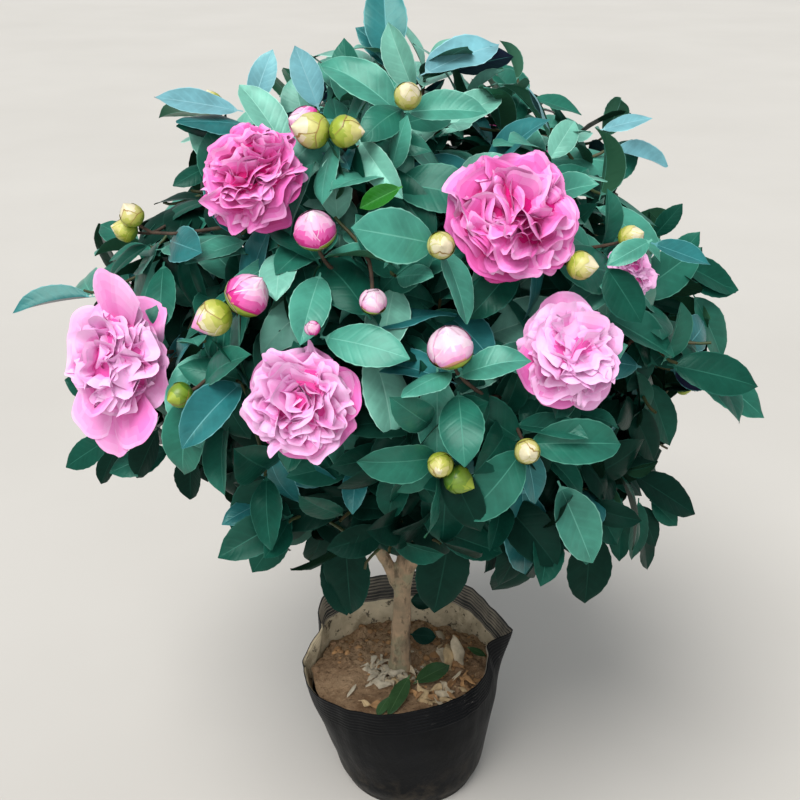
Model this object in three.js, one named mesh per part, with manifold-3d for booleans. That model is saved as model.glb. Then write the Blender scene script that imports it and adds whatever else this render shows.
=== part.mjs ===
// A camellia shrub standing in its soft black nursery pot.
// Millimetres, +Z up, -Y to the front. The origin is on the pot's flat underside, straight
// below the foot of the trunk, and the pot sits a little off centre round it.
//
// The trunk leaves the soil, forks into limbs, and each limb sends boughs out to the masses of
// foliage. The masses stand in rings round an open middle, as the leaves of the shrub do.

import * as THREE from "three";
import { mergeVertices } from "three/addons/utils/BufferGeometryUtils.js";
import Module from "manifold-3d";

const wasm = await Module();
wasm.setup();

// ---------- driving dimensions ----------

const GAP = 0.5;                         // clearance left between two pieces that meet

// The pot: a soft tapering bag of a pot, with a slack, uneven rim.
const POT_CENTRE = [7, 8];
const POT_WALL = 1.8;
const POT_FLOOR = 2.2;
const POT_SEGMENTS = 45;
const POT_ROWS = 6;
const POT_PROFILE = [[0, 81], [8, 90], [36, 95], [86, 108], [138, 118], [205, 124]];
const POT_FOOT_SLIDE = 6;                // how far the foot has slid to the right
const POT_SLIDE_HEIGHTS = [20, 100];     // the slide is whole below these and gone above
// Rim height by angle round the pot, 0 at +X and 90 at the back: high at the back and right,
// a fold down to a slack lip at the left, and low in front.
const POT_RIM = [
  [0, 200], [14, 196], [28, 196], [48, 206], [66, 210], [108, 204], [152, 206], [164, 182],
  [173, 154], [204, 155], [228, 158], [250, 163], [290, 173], [334, 174], [348, 194], [360, 200],
];
// How far the rim leans out of the round by angle: the slack lip hangs out at the left, and
// the right of the front is pressed in beside a corner.
const POT_LEAN = [
  [0, 4], [14, 1], [28, -1], [66, 2], [154, 0], [163, -4], [176, 8], [196, 11], [206, 10],
  [228, 4], [250, -1], [277, -7], [325, -11], [345, -15], [352, -12], [360, 4],
];
const POT_LEAN_DROPS = [55, 12];         // below the rim: where the lean begins and is whole
const POT_SLACK = 1.6;                   // how far the loose folds of the wall stand in and out
// The folds as waves round the pot: share of the slack, waves in a turn, and phase.
const POT_FOLDS = [[0.5, 3, 0.6], [0.3, 5, 1.1], [0.2, 9, 0]];
const POT_ROW_CROWDING = 1.2;            // over 1 draws the rows together near the floor

// The soil that fills the pot.
const SOIL_LEVEL = 150;
const SOIL_BUMPS = 3.5;                  // height of the bumps, all of them below the level
const SOIL_BUMP_SPAN = 13;
const SOIL_SEGMENTS = 30;
const SOIL_ROWS = 3;
const SOIL_RINGS = 4;
const SOIL_CLEARANCE = 2.2;              // from the pot's wall, past GAP, as both are faceted
const SOIL_FLAT = 24;                    // radius of the level spot that the trunk stands on

// The trunk.
const TRUNK_FOOT_RADIUS = 12.5;
const TRUNK_TOP_RADIUS = 10.5;
const TRUNK_FLARE = 3.5;                 // extra radius of the root flare at the soil
const TRUNK_FLARE_HEIGHT = 8;            // over this height the flare falls to about a third
const FORK_HEIGHT = 284;
const TRUNK_LEAN = [4, 1];               // how far the fork lies from the foot, along X and Y
const TRUNK_SIDES = 12;
const TRUNK_STEPS = 7;

// The limbs that leave the fork, each the way to one mass of the upper crown.
const LEADER_RADIUS = 9.2;
const LIMB_RADIUS = 8;
const LIMB_TIP_RADIUS = 4.5;
const BOUGH_RADIUS = 5;
const BOUGH_TIP_RADIUS = 3;
const LIMB_SIDES = 8;
const LIMB_STEPS = 7;
const LIMB_SWING = { along: 0.45, sag: 8 };   // a limb swings out low before it climbs
const BOUGH_SLOPE = 0.55;                // the rise over run that a bough follows best
const BOUGH_SLOPE_PULL = 0.8;            // how much a short bough counts against a good slope
const BOUGH_STARTS = { from: 0.14, to: 0.75, step: 0.03 };   // along the limb it leaves
const BOUGH_KNEE = { along: 0.45, sag: 6 };
const BOUGH_SIDES = 6;
const BOUGH_STEPS = 4;

// The crown: a dome, broadest a little below its middle.
const CROWN_MIDDLE = 605;
const CROWN_REACH = 352;
const CROWN_RISE = 322;
const MASS_DEPTH = 0.69;                 // where a mass's middle lies between the crown's and its skin
const MASS_SPLIT = 9;                    // the narrow gap between two masses that meet
const MASS_DETAIL = 3;
const MASS_LUMPS = 0.067;                // height of each wave of lumps, as a share of the reach
const LUMP_WAVES = { x: 4.1, y: 4.7, z: 5.3 };
const LUMP_SEEDS = { x: 1.7, y: 2.9, z: 0.8 };
const MASS_NEIGHBOURS = 3;               // masses further off than this many sizes never meet
const MASS_FACING = 0.05;                // how squarely a neighbour must lie to flatten a side

// Rings of masses from the top down. latitude is the angle above the crown's middle, and first
// the angle of the ring's first mass round the trunk. A mass reaches outwards, back inwards,
// round the crown and over it by these half sizes.
const RINGS = [
  {
    name: "foliage_top", count: 1, latitude: 90, first: 0,
    outwards: 96, inwards: 62, round: 134, over: 130,
  },
  {
    name: "foliage_upper", count: 5, latitude: 41, first: 180,
    outwards: 106, inwards: 62, round: 138, over: 112,
  },
  {
    name: "foliage_middle", count: 7, latitude: 4, first: 180,
    outwards: 108, inwards: 62, round: 130, over: 106,
  },
  {
    name: "foliage_lower", count: 7, latitude: -33, first: 0,
    outwards: 106, inwards: 60, round: 122, over: 96,
  },
];

// The sprays that stand furthest out of the crown, each on one of the masses, which narrows
// towards it as a spur. SPUR_FALL is the share of the spur's length lost in each radian.
const SPUR_FALL = 0.8;
const TIPS = [
  { mass: "foliage_top", at: [-14, -30, 938] },
  { mass: "foliage_upper_1", at: [-240, -12, 845] },
  { mass: "foliage_upper_3", at: [250, -70, 800] },
  { mass: "foliage_upper_4", at: [236, 96, 822] },
  { mass: "foliage_middle_1", at: [-410, -14, 628] },
  { mass: "foliage_middle_3", at: [70, -352, 640] },
  { mass: "foliage_middle_4", at: [356, -96, 650] },
  { mass: "foliage_middle_5", at: [340, 130, 655] },
  { mass: "foliage_middle_6", at: [70, 345, 650] },
  { mass: "foliage_lower_1", at: [404, -12, 505] },
  { mass: "foliage_lower_7", at: [262, -170, 338] },
  { mass: "foliage_lower_6", at: [-40, -236, 352] },
  { mass: "foliage_lower_5", at: [-345, -96, 440] },
  { mass: "foliage_lower_3", at: [-60, 232, 356] },
];

const radians = THREE.MathUtils.degToRad;

// ---------- materials ----------

function material(colour, roughness) {
  return new THREE.MeshStandardMaterial({ color: colour, roughness, metalness: 0 });
}

const potPlastic = () => material(0x17181a, 0.45);
const earth = () => material(0x6b4c33, 0.95);
const bark = () => material(0x8a6d4f, 0.85);
const foliageGreen = () => material(0x1f5a4c, 0.5);

// ---------- helpers ----------

// A value read between [position, value] pairs, eased so that no corner shows.
function eased(pairs, position) {
  for (let i = 1; i < pairs.length; i += 1) {
    const [from, low] = pairs[i - 1];
    const [to, high] = pairs[i];
    if (position <= to) {
      return low + (high - low) * THREE.MathUtils.smoothstep(position, from, to);
    }
  }
  return pairs[pairs.length - 1][1];
}

// The same without the easing, for profiles.
function between(pairs, position) {
  for (let i = 1; i < pairs.length; i += 1) {
    const [from, low] = pairs[i - 1];
    const [to, high] = pairs[i];
    if (position <= to) {
      return THREE.MathUtils.mapLinear(position, from, to, low, high);
    }
  }
  return pairs[pairs.length - 1][1];
}

function moved(geometry, place) {
  const points = geometry.getAttribute("position");
  const point = new THREE.Vector3();
  for (let i = 0; i < points.count; i += 1) {
    point.fromBufferAttribute(points, i);
    place(point);
    points.setXYZ(i, point.x, point.y, point.z);
  }
  geometry.computeVertexNormals();
  return geometry;
}

function weldedCopy(geometry) {
  const bare = geometry.clone();
  bare.deleteAttribute("normal");
  bare.deleteAttribute("uv");
  return mergeVertices(bare, 1e-4);
}

function solidOf(geometry) {
  const welded = weldedCopy(geometry);
  return new wasm.Manifold(new wasm.Mesh({
    numProp: 3,
    vertProperties: new Float32Array(welded.getAttribute("position").array),
    triVerts: new Uint32Array(welded.getIndex().array),
  }));
}

function cut(geometry, cutters) {
  let solid = solidOf(geometry);
  for (const cutter of cutters) {
    solid = solid.subtract(solidOf(cutter));
  }
  const mesh = solid.getMesh();
  const result = new THREE.BufferGeometry();
  result.setAttribute("position", new THREE.BufferAttribute(mesh.vertProperties, 3));
  result.setIndex(new THREE.BufferAttribute(mesh.triVerts, 1));
  result.computeVertexNormals();
  return result;
}

function named(name, geometry, finish) {
  const mesh = new THREE.Mesh(geometry, finish);
  mesh.name = name;
  return mesh;
}

// A round limb along a curve, its radius given by radiusAt(0..1), closed by a flat cap at each
// end.
function limb(curve, radiusAt, sides, steps) {
  const frames = curve.computeFrenetFrames(steps, false);
  const corners = [];
  const faces = [];
  for (let step = 0; step <= steps; step += 1) {
    const along = step / steps;
    const middle = curve.getPointAt(along);
    for (let side = 0; side < sides; side += 1) {
      const turn = (side / sides) * 2 * Math.PI;
      const out = frames.normals[step].clone().multiplyScalar(Math.cos(turn))
        .addScaledVector(frames.binormals[step], Math.sin(turn));
      corners.push(...middle.clone().addScaledVector(out, radiusAt(along)).toArray());
    }
  }
  const firstCap = corners.length / 3;
  corners.push(...curve.getPointAt(0).toArray(), ...curve.getPointAt(1).toArray());
  for (let side = 0; side < sides; side += 1) {
    const next = (side + 1) % sides;
    for (let step = 0; step < steps; step += 1) {
      const low = step * sides;
      const high = low + sides;
      faces.push(low + side, low + next, high + side);
      faces.push(low + next, high + next, high + side);
    }
    const last = steps * sides;
    faces.push(firstCap, next, side);
    faces.push(firstCap + 1, last + side, last + next);
  }
  const geometry = new THREE.BufferGeometry();
  geometry.setAttribute("position", new THREE.Float32BufferAttribute(corners, 3));
  geometry.setIndex(faces);
  geometry.computeVertexNormals();
  return geometry;
}

// ---------- pot and soil ----------

function rimHeight(degrees) {
  return eased(POT_RIM, (degrees + 360) % 360);
}

// The soft folds of the wall: none at the floor, fullest at the rim.
function fold(degrees, height) {
  const angle = radians(degrees);
  const slack = POT_SLACK * (height / SOIL_LEVEL) ** 2;
  return POT_FOLDS.reduce(
    (sum, [share, waves, phase]) => sum + slack * share * Math.sin(waves * angle + phase),
    0,
  );
}

function lean(degrees, height) {
  const [begins, whole] = POT_LEAN_DROPS.map((drop) => rimHeight(degrees) - drop);
  const share = THREE.MathUtils.smoothstep(height, begins, whole);
  return share * eased(POT_LEAN, (degrees + 360) % 360);
}

// The point at one angle and height that lies this deep inside the outer face of the wall.
function underWall(degrees, height, depth) {
  const radius = between(POT_PROFILE, height) + fold(degrees, height) + lean(degrees, height);
  const slide = POT_FOOT_SLIDE * (1 - THREE.MathUtils.smoothstep(height, ...POT_SLIDE_HEIGHTS));
  const angle = radians(degrees);
  return new THREE.Vector3(
    POT_CENTRE[0] + slide + (radius - depth) * Math.cos(angle),
    POT_CENTRE[1] + (radius - depth) * Math.sin(angle),
    height,
  );
}

// The pot is lathed as a bare cup of even rows, and each row is then drawn out to its own
// height and radius. A lathe point holds the row as x and the wall's side as y.
function pot() {
  const outside = 1;
  const inside = 2;
  const profile = [new THREE.Vector2(0, 0)];
  for (let row = 0; row <= POT_ROWS; row += 1) {
    profile.push(new THREE.Vector2(row + 1, outside));
  }
  for (let row = POT_ROWS; row >= 0; row -= 1) {
    profile.push(new THREE.Vector2(row + 1, inside));
  }
  profile.push(new THREE.Vector2(0, inside));
  const geometry = new THREE.LatheGeometry(profile, POT_SEGMENTS);
  return moved(geometry, (point) => {
    const row = Math.round(Math.hypot(point.x, point.z)) - 1;
    const degrees = THREE.MathUtils.radToDeg(Math.atan2(-point.z, point.x));
    const within = point.y === inside;
    if (row < 0) {
      point.set(POT_CENTRE[0], POT_CENTRE[1], within ? POT_FLOOR : 0);
      return;
    }
    const share = row / POT_ROWS;
    const floor = within ? POT_FLOOR : 0;
    const height = floor + share ** POT_ROW_CROWDING * (rimHeight(degrees) - floor);
    point.copy(underWall(degrees, height, within ? POT_WALL : 0));
  });
}

function soilHeight(x, y) {
  const beyond = THREE.MathUtils.smoothstep(Math.hypot(x, y), SOIL_FLAT, SOIL_FLAT * 2);
  const bumps = Math.sin(x / SOIL_BUMP_SPAN + 1) * Math.cos(y / SOIL_BUMP_SPAN);
  return SOIL_LEVEL + beyond * SOIL_BUMPS * (bumps - 1);
}

// The soil is a plug lathed as the pot is: rows up its side, then rings in over its top.
function soil() {
  const underside = 0;
  const side = 1;
  const top = 2;
  const profile = [new THREE.Vector2(0, underside)];
  for (let row = 0; row <= SOIL_ROWS; row += 1) {
    profile.push(new THREE.Vector2(SOIL_RINGS + row, side));
  }
  for (let ring = SOIL_RINGS - 1; ring > 0; ring -= 1) {
    profile.push(new THREE.Vector2(ring, top));
  }
  profile.push(new THREE.Vector2(0, top));
  const bottom = POT_FLOOR + GAP;
  const edgeLevel = SOIL_LEVEL - SOIL_BUMPS;
  const geometry = new THREE.LatheGeometry(profile, SOIL_SEGMENTS);
  return moved(geometry, (point) => {
    const step = Math.round(Math.hypot(point.x, point.z));
    const degrees = THREE.MathUtils.radToDeg(Math.atan2(-point.z, point.x));
    if (point.y === underside) {
      point.set(POT_CENTRE[0], POT_CENTRE[1], bottom);
      return;
    }
    const onSide = point.y === side;
    const share = onSide ? (step - SOIL_RINGS) / SOIL_ROWS : 1;
    const height = bottom + share * (edgeLevel - bottom);
    const edge = underWall(degrees, height, POT_WALL + GAP + SOIL_CLEARANCE);
    const middle = new THREE.Vector3(POT_CENTRE[0], POT_CENTRE[1], height);
    point.lerpVectors(middle, edge, onSide ? 1 : step / SOIL_RINGS);
    point.z = onSide ? height : soilHeight(point.x, point.y);
  });
}

// ---------- trunk ----------

function trunkRadius(along) {
  const above = along * (FORK_HEIGHT - SOIL_LEVEL);
  const flare = TRUNK_FLARE * Math.exp(-above / TRUNK_FLARE_HEIGHT);
  return THREE.MathUtils.lerp(TRUNK_FOOT_RADIUS, TRUNK_TOP_RADIUS, along) + flare;
}

const trunkTop = new THREE.Vector3(...TRUNK_LEAN, FORK_HEIGHT);

function trunk(extra = 0) {
  const foot = new THREE.Vector3(0, 0, SOIL_LEVEL + GAP);
  const line = new THREE.LineCurve3(foot, trunkTop);
  return limb(line, (along) => trunkRadius(along) + extra, TRUNK_SIDES, TRUNK_STEPS);
}

// ---------- foliage ----------

function spursOf(name, middle) {
  return TIPS.filter((tip) => tip.mass === name).map((tip) => {
    const way = new THREE.Vector3(...tip.at).sub(middle);
    return { length: way.length(), way: way.normalize() };
  });
}

function ringMasses() {
  const masses = [];
  for (const ring of RINGS) {
    for (let i = 0; i < ring.count; i += 1) {
      const turn = radians(ring.first + (360 / ring.count) * i);
      const lift = radians(ring.latitude);
      const out = new THREE.Vector3(
        Math.cos(lift) * Math.cos(turn),
        Math.cos(lift) * Math.sin(turn),
        Math.sin(lift),
      );
      const round = new THREE.Vector3(-Math.sin(turn), Math.cos(turn), 0);
      const name = ring.count > 1 ? `${ring.name}_${i + 1}` : ring.name;
      const middle = new THREE.Vector3(
        out.x * CROWN_REACH * MASS_DEPTH,
        out.y * CROWN_REACH * MASS_DEPTH,
        out.z * CROWN_RISE * MASS_DEPTH + CROWN_MIDDLE,
      );
      masses.push({
        ...ring,
        name,
        middle,
        axes: [out, round, new THREE.Vector3().crossVectors(out, round)],
        spurs: spursOf(name, middle),
        seed: masses.length + 1,
      });
    }
  }
  return masses;
}

const masses = ringMasses();

function meanHalf(mass) {
  return (mass.outwards + mass.round + mass.over) / 3;
}

// Uneven lumps over a mass, as a share of its size.
function lumps(way, seed) {
  return ["x", "y", "z"].reduce(
    (sum, axis) => sum + MASS_LUMPS * Math.sin(LUMP_WAVES[axis] * way[axis] + LUMP_SEEDS[axis] * seed),
    0,
  );
}

// How far a mass reaches from its middle in one direction: its own uneven round and its spurs,
// cut off flat where it would run into a neighbour.
function reach(mass, way) {
  const [out, round, over] = mass.axes;
  const outwards = way.dot(out);
  const own = 1 / Math.hypot(
    outwards / (outwards > 0 ? mass.outwards : mass.inwards),
    way.dot(round) / mass.round,
    way.dot(over) / mass.over,
  );
  let far = own * (1 + lumps(way, mass.seed));
  for (const spur of mass.spurs) {
    far = Math.max(far, spur.length * (1 - SPUR_FALL * spur.way.angleTo(way)));
  }
  for (const other of masses) {
    const apart = other.middle.clone().sub(mass.middle);
    const distance = apart.length();
    if (other === mass || distance > meanHalf(mass) * MASS_NEIGHBOURS) {
      continue;
    }
    const mine = meanHalf(mass);
    const theirs = meanHalf(other);
    const wall = (distance ** 2 + mine ** 2 - theirs ** 2) / (2 * distance) - MASS_SPLIT / 2;
    const facing = way.dot(apart) / distance;
    if (facing > MASS_FACING) {
      far = Math.min(far, wall / facing);
    }
  }
  return far;
}

// The corner of the round that lies nearest to a spur is turned to the spur's own direction.
function turnedToSpur(corner, spurs) {
  for (const spur of spurs) {
    if (corner.distanceTo(spur.corner) < 1e-3) {
      return spur.way.clone();
    }
  }
  return corner.clone();
}

function cornerNearest(points, way) {
  const corner = new THREE.Vector3();
  const nearest = new THREE.Vector3();
  for (let i = 0; i < points.count; i += 1) {
    corner.fromBufferAttribute(points, i);
    if (corner.distanceTo(way) < nearest.distanceTo(way)) {
      nearest.copy(corner);
    }
  }
  return nearest;
}

// extra swells the mass a little, for cutting the bough that enters it.
function foliage(mass, extra = 0) {
  const geometry = new THREE.IcosahedronGeometry(1, MASS_DETAIL);
  const points = geometry.getAttribute("position");
  const spurs = mass.spurs.map((spur) => ({ ...spur, corner: cornerNearest(points, spur.way) }));
  return moved(geometry, (point) => {
    const way = turnedToSpur(point, spurs);
    point.copy(way).multiplyScalar(reach(mass, way) + extra).add(mass.middle);
  });
}

// ---------- limbs and boughs ----------

function massNamed(name) {
  return masses.find((mass) => mass.name === name);
}

// A limb goes up from the fork and bends out into its mass: below is how far under the top of
// the trunk it leaves, lift how far over it the limb bends, and spread how far out it has swung
// by then.
const LIMBS = [
  { name: "limb_leader", mass: "foliage_top", below: 0, lift: 250, spread: [10, 6] },
  { name: "limb_left", mass: "foliage_upper_1", below: 26, lift: 200, spread: [-82, -12] },
  { name: "limb_front", mass: "foliage_upper_3", below: 12, lift: 200, spread: [54, -58] },
  { name: "limb_back", mass: "foliage_upper_5", below: 14, lift: 200, spread: [16, 82] },
];

function limbCurve(plan) {
  const isLeader = plan.name === "limb_leader";
  const start = trunkTop.clone();
  start.z += isLeader ? GAP : -plan.below;
  const bend = new THREE.Vector3(plan.spread[0], plan.spread[1], FORK_HEIGHT + plan.lift);
  const end = massNamed(plan.mass).middle.clone();
  if (!isLeader) {
    const near = start.clone().lerp(bend, LIMB_SWING.along);
    near.z -= LIMB_SWING.sag;
    return new THREE.CatmullRomCurve3([start, near, bend, end]);
  }
  return new THREE.CatmullRomCurve3([start, bend, end]);
}

const limbs = LIMBS.map((plan) => ({
  ...plan,
  curve: limbCurve(plan),
  radius: plan.name === "limb_leader" ? LEADER_RADIUS : LIMB_RADIUS,
}));

function limbTube(one, extra = 0) {
  const radiusAt = (along) => THREE.MathUtils.lerp(one.radius, LIMB_TIP_RADIUS, along) + extra;
  return limb(one.curve, radiusAt, LIMB_SIDES, LIMB_STEPS);
}

// A bough leaves whichever limb it can follow at an easy slope, and ends in its mass.
function boughPlan(mass) {
  const flat = Math.hypot(mass.middle.x, mass.middle.y);
  let best = { miss: Infinity };
  for (const one of limbs) {
    for (let along = BOUGH_STARTS.from; along < BOUGH_STARTS.to; along += BOUGH_STARTS.step) {
      const start = one.curve.getPointAt(along);
      const way = mass.middle.clone().sub(start);
      const rise = way.z / Math.hypot(way.x, way.y);
      const miss = Math.abs(rise - BOUGH_SLOPE) * flat + BOUGH_SLOPE_PULL * way.length();
      if (miss < best.miss) {
        best = { miss, start };
      }
    }
  }
  const knee = best.start.clone().lerp(mass.middle, BOUGH_KNEE.along);
  knee.z -= BOUGH_KNEE.sag;
  return {
    name: mass.name.replace("foliage", "bough"),
    curve: new THREE.QuadraticBezierCurve3(best.start, knee, mass.middle),
    mass,
  };
}

function boughTube(plan, extra = 0) {
  const radiusAt = (along) => THREE.MathUtils.lerp(BOUGH_RADIUS, BOUGH_TIP_RADIUS, along) + extra;
  return limb(plan.curve, radiusAt, BOUGH_SIDES, BOUGH_STEPS);
}

// ---------- the shrub ----------

const shrub = new THREE.Group();
shrub.add(named("pot", pot(), potPlastic()));
shrub.add(named("soil", soil(), earth()));
shrub.add(named("trunk", trunk(), bark()));

for (const mass of masses) {
  shrub.add(named(mass.name, foliage(mass), foliageGreen()));
}

// Each limb and bough is cut back from what it grows out of and from the ones before it.
const trunkAndLimbs = [trunk(GAP)];
for (const one of limbs) {
  const cutters = [foliage(massNamed(one.mass), GAP), ...trunkAndLimbs];
  shrub.add(named(one.name, cut(limbTube(one), cutters), bark()));
  trunkAndLimbs.push(limbTube(one, GAP));
}

const limbMasses = limbs.map((one) => one.mass);
const boughs = masses.filter((mass) => !limbMasses.includes(mass.name)).map(boughPlan);
const earlierBoughs = [];
for (const plan of boughs) {
  const cutters = [foliage(plan.mass, GAP), ...trunkAndLimbs, ...earlierBoughs];
  shrub.add(named(plan.name, cut(boughTube(plan), cutters), bark()));
  earlierBoughs.push(boughTube(plan, GAP));
}

export default shrub;
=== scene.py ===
"""A camellia shrub in its soft black nursery pot: leaves, blooms, buds, bark, soil and pot.

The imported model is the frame. Its masses of foliage say where leaves grow, its limbs and boughs
are given bark, and its pot and soil are measured for the detailed ones that stand for them.
Lengths are metres, +Z is up and -Y is the front.
"""

import math
import random

import bpy
import numpy as np
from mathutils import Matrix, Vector, noise
from mathutils.bvhtree import BVHTree


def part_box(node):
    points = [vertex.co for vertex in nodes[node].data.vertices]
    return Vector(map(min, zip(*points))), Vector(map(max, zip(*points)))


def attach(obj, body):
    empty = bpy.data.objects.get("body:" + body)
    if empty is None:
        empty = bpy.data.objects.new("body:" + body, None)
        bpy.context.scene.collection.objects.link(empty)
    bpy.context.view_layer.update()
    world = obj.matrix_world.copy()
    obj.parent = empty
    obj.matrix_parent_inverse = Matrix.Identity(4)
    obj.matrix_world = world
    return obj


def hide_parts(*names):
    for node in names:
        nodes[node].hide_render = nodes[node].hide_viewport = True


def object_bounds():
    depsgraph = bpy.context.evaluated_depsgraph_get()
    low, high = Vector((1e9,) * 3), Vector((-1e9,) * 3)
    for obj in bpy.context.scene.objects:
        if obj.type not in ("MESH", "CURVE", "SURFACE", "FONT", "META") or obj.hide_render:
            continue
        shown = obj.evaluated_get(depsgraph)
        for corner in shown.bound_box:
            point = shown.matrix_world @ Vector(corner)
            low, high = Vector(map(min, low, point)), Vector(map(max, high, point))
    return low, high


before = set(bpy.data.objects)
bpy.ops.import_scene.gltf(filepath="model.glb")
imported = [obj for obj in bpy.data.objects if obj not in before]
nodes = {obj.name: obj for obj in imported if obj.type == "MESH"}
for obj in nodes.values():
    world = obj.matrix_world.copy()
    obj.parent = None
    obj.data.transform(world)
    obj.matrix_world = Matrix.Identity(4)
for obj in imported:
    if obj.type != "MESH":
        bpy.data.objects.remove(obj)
cad_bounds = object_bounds()

# ---------------------------------------------------------------- sizes and counts

MM = 0.001


def rows_of(fields, rows):
    """Rows of values that can be read by their fields' names; a short row leaves some out."""
    return [dict(zip(fields.split(), row)) for row in rows]


GOLDEN_TURN = math.radians(137.5)

# Leaves
LEAF_LENGTH = (54 * MM, 86 * MM)
LEAF_SLENDER = (0.50, 0.64)              # width over length
LEAF_ACROSS = np.array([1.0, 0.955, 0.5, 0.028, -0.028, -0.5, -0.955, -1.0])
LEAF_ROWS = 17
INNER_LEAF_ROWS = 8
LEAF_TOOTH = 0.016                       # depth of the saw edge, as a share of the half width
LEAF_FIRST_ROW = 0.035                   # where the blade starts, as a share of the length
LEAF_POINT = 0.0004                      # half width of its point
RIPPLE_TURN = 9.0                        # how fast its edge waves along the blade
PETIOLE_SHARE = 0.08
PETIOLE_RADIUS = 1.1 * MM

# Sprays: the leafy ends of the twigs
SPRAY_SPACING = 60 * MM
SPRAY_DEPTH = 38 * MM                    # how far a spray's tip lies inside the mass's skin
SPRAY_LEAVES = (6, 8)
INNER_SPRAYS = 6                         # in each mass
INNER_DEPTH = 50 * MM
SKIN_TRIES = 420                         # places tried on each mass
SKIN_WANDER = 6 * MM
# The skirt, where the lowest sprays start: its height, from how far out it rises and how fast,
# and how far it is higher on the left, and over what width.
SKIRT = {"height": 0.43, "from": 0.18, "rise_outwards": 0.5, "rise_left": 0.05, "left": 0.3}

# Twigs
TWIG_TIP_RADIUS = 1.7 * MM
TWIG_SIDES = 6
TWIG_STEPS = 6
TWIG_THICKENING = 0.42                   # how its radius grows with the number of tips it carries
TWIG_BEND = 0.24                         # how long a twig keeps its first and last direction
TWIG_FORK = (0.30, 0.42)                 # where it forks, as a share of the way
FORK_WANDER = 8 * MM

# Blooms: angle round the crown from the front, towards the right; distance out from the
# trunk's line; height; half width; tone, 0 deep to 1 pale; lean upwards in degrees; then the
# odd, loose guard petals, as LOOSE_PETAL says, and the bloom's own seed. clock is the way a
# petal points, clockwise from the top as seen from outside.
BLOOMS = rows_of("around out high half tone lean loose seed", [
    (20.2, 0.271, 0.797, 0.056, 0.40, 10, [(205, 84, 1.06, 0.70, 0.16)], 40),
    (-29.8, 0.254, 0.821, 0.046, 0.37, 0, [(95, 80, 1.04, 0.55, 0.14)], 41),
    (-50.6, 0.338, 0.650, 0.055, 0.80, 2, [
        (2, 66, 1.72, 0.44, 0.72), (150, 84, 1.56, 0.46, 0.56), (178, 88, 1.70, 0.42, 0.62),
        (208, 86, 1.66, 0.44, 0.72), (248, 84, 1.34, 0.56, 0.72), (284, 72, 1.32, 0.56, 0.80)]),
    (-14.5, 0.328, 0.653, 0.047, 0.68, 4, [
        (75, 82, 1.12, 0.62, 0.36), (230, 84, 1.04, 0.55, 0.28)]),
    (26.8, 0.322, 0.687, 0.045, 0.78, 6, [
        (250, 80, 1.20, 0.60, 0.44), (205, 86, 1.14, 0.55, 0.42), (150, 90, 1.26, 0.50, 0.70)]),
    (45.5, 0.290, 0.732, 0.023, 0.92, 20),
    (120, 0.312, 0.590, 0.050, 0.7, 0),
    (150, 0.284, 0.735, 0.054, 0.5, 0),
    (176, 0.318, 0.655, 0.055, 0.8, 0),
    (214, 0.285, 0.735, 0.050, 0.5, 0),
    (255, 0.322, 0.575, 0.052, 0.8, 0),
])
LOOSE_PETAL = "clock lean size spread tone"

CROWN_SEED = 7
LITTER_SEED = 23
FLOWER_SEED = 20                         # the first of the blooms' and buds' own seeds

# Opening buds and closed ones, placed as the blooms are. aim is the way a bud points: turn from
# the front towards the right, and rise.
BUDS = rows_of("around out high length kind aim", [
    (-14, 0.286, 0.790, 0.035, "pink", (-8, 66)),
    (-23, 0.316, 0.739, 0.037, "pink", (75, 48)),
    (7, 0.326, 0.706, 0.038, "blush", (-30, 70)),
    (-29.5, 0.320, 0.712, 0.036, "rosy", (-72, -18)),
    (-4, 0.306, 0.738, 0.021, "blush", (10, 58)),
    (-19.5, 0.226, 0.856, 0.036, "cream", (-60, 15)),
    (-11, 0.228, 0.857, 0.031, "green", (72, 2)),
    (2, 0.195, 0.882, 0.027, "cream", (10, 40)),
    (6.5, 0.292, 0.779, 0.026, "cream", (0, 15)),
    (30, 0.305, 0.754, 0.028, "cream", (60, 5)),
    (42.7, 0.296, 0.765, 0.025, "cream", (50, 30)),
    (18.3, 0.340, 0.610, 0.025, "cream", (0, 12)),
    (5.6, 0.340, 0.605, 0.025, "green", (-5, 5)),
    (8.6, 0.336, 0.588, 0.028, "lime", (60, -15)),
    (-34.5, 0.336, 0.641, 0.026, "lime", (-40, 0)),
    (-56.4, 0.300, 0.757, 0.025, "green", (-70, 20)),
    (-53.7, 0.298, 0.774, 0.025, "cream", (-50, 60)),
    (-23, 0.210, 0.858, 0.030, "pink", (-60, 20)),
    (-13, 0.318, 0.716, 0.011, "pink", (-20, 40)),
])
SCATTERED_BUDS = 0.10                    # share of the sprays at the back that end in a small bud

PAST_BOX = 24 * MM                       # how far a leaf may stand out of the solids' own box
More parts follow.
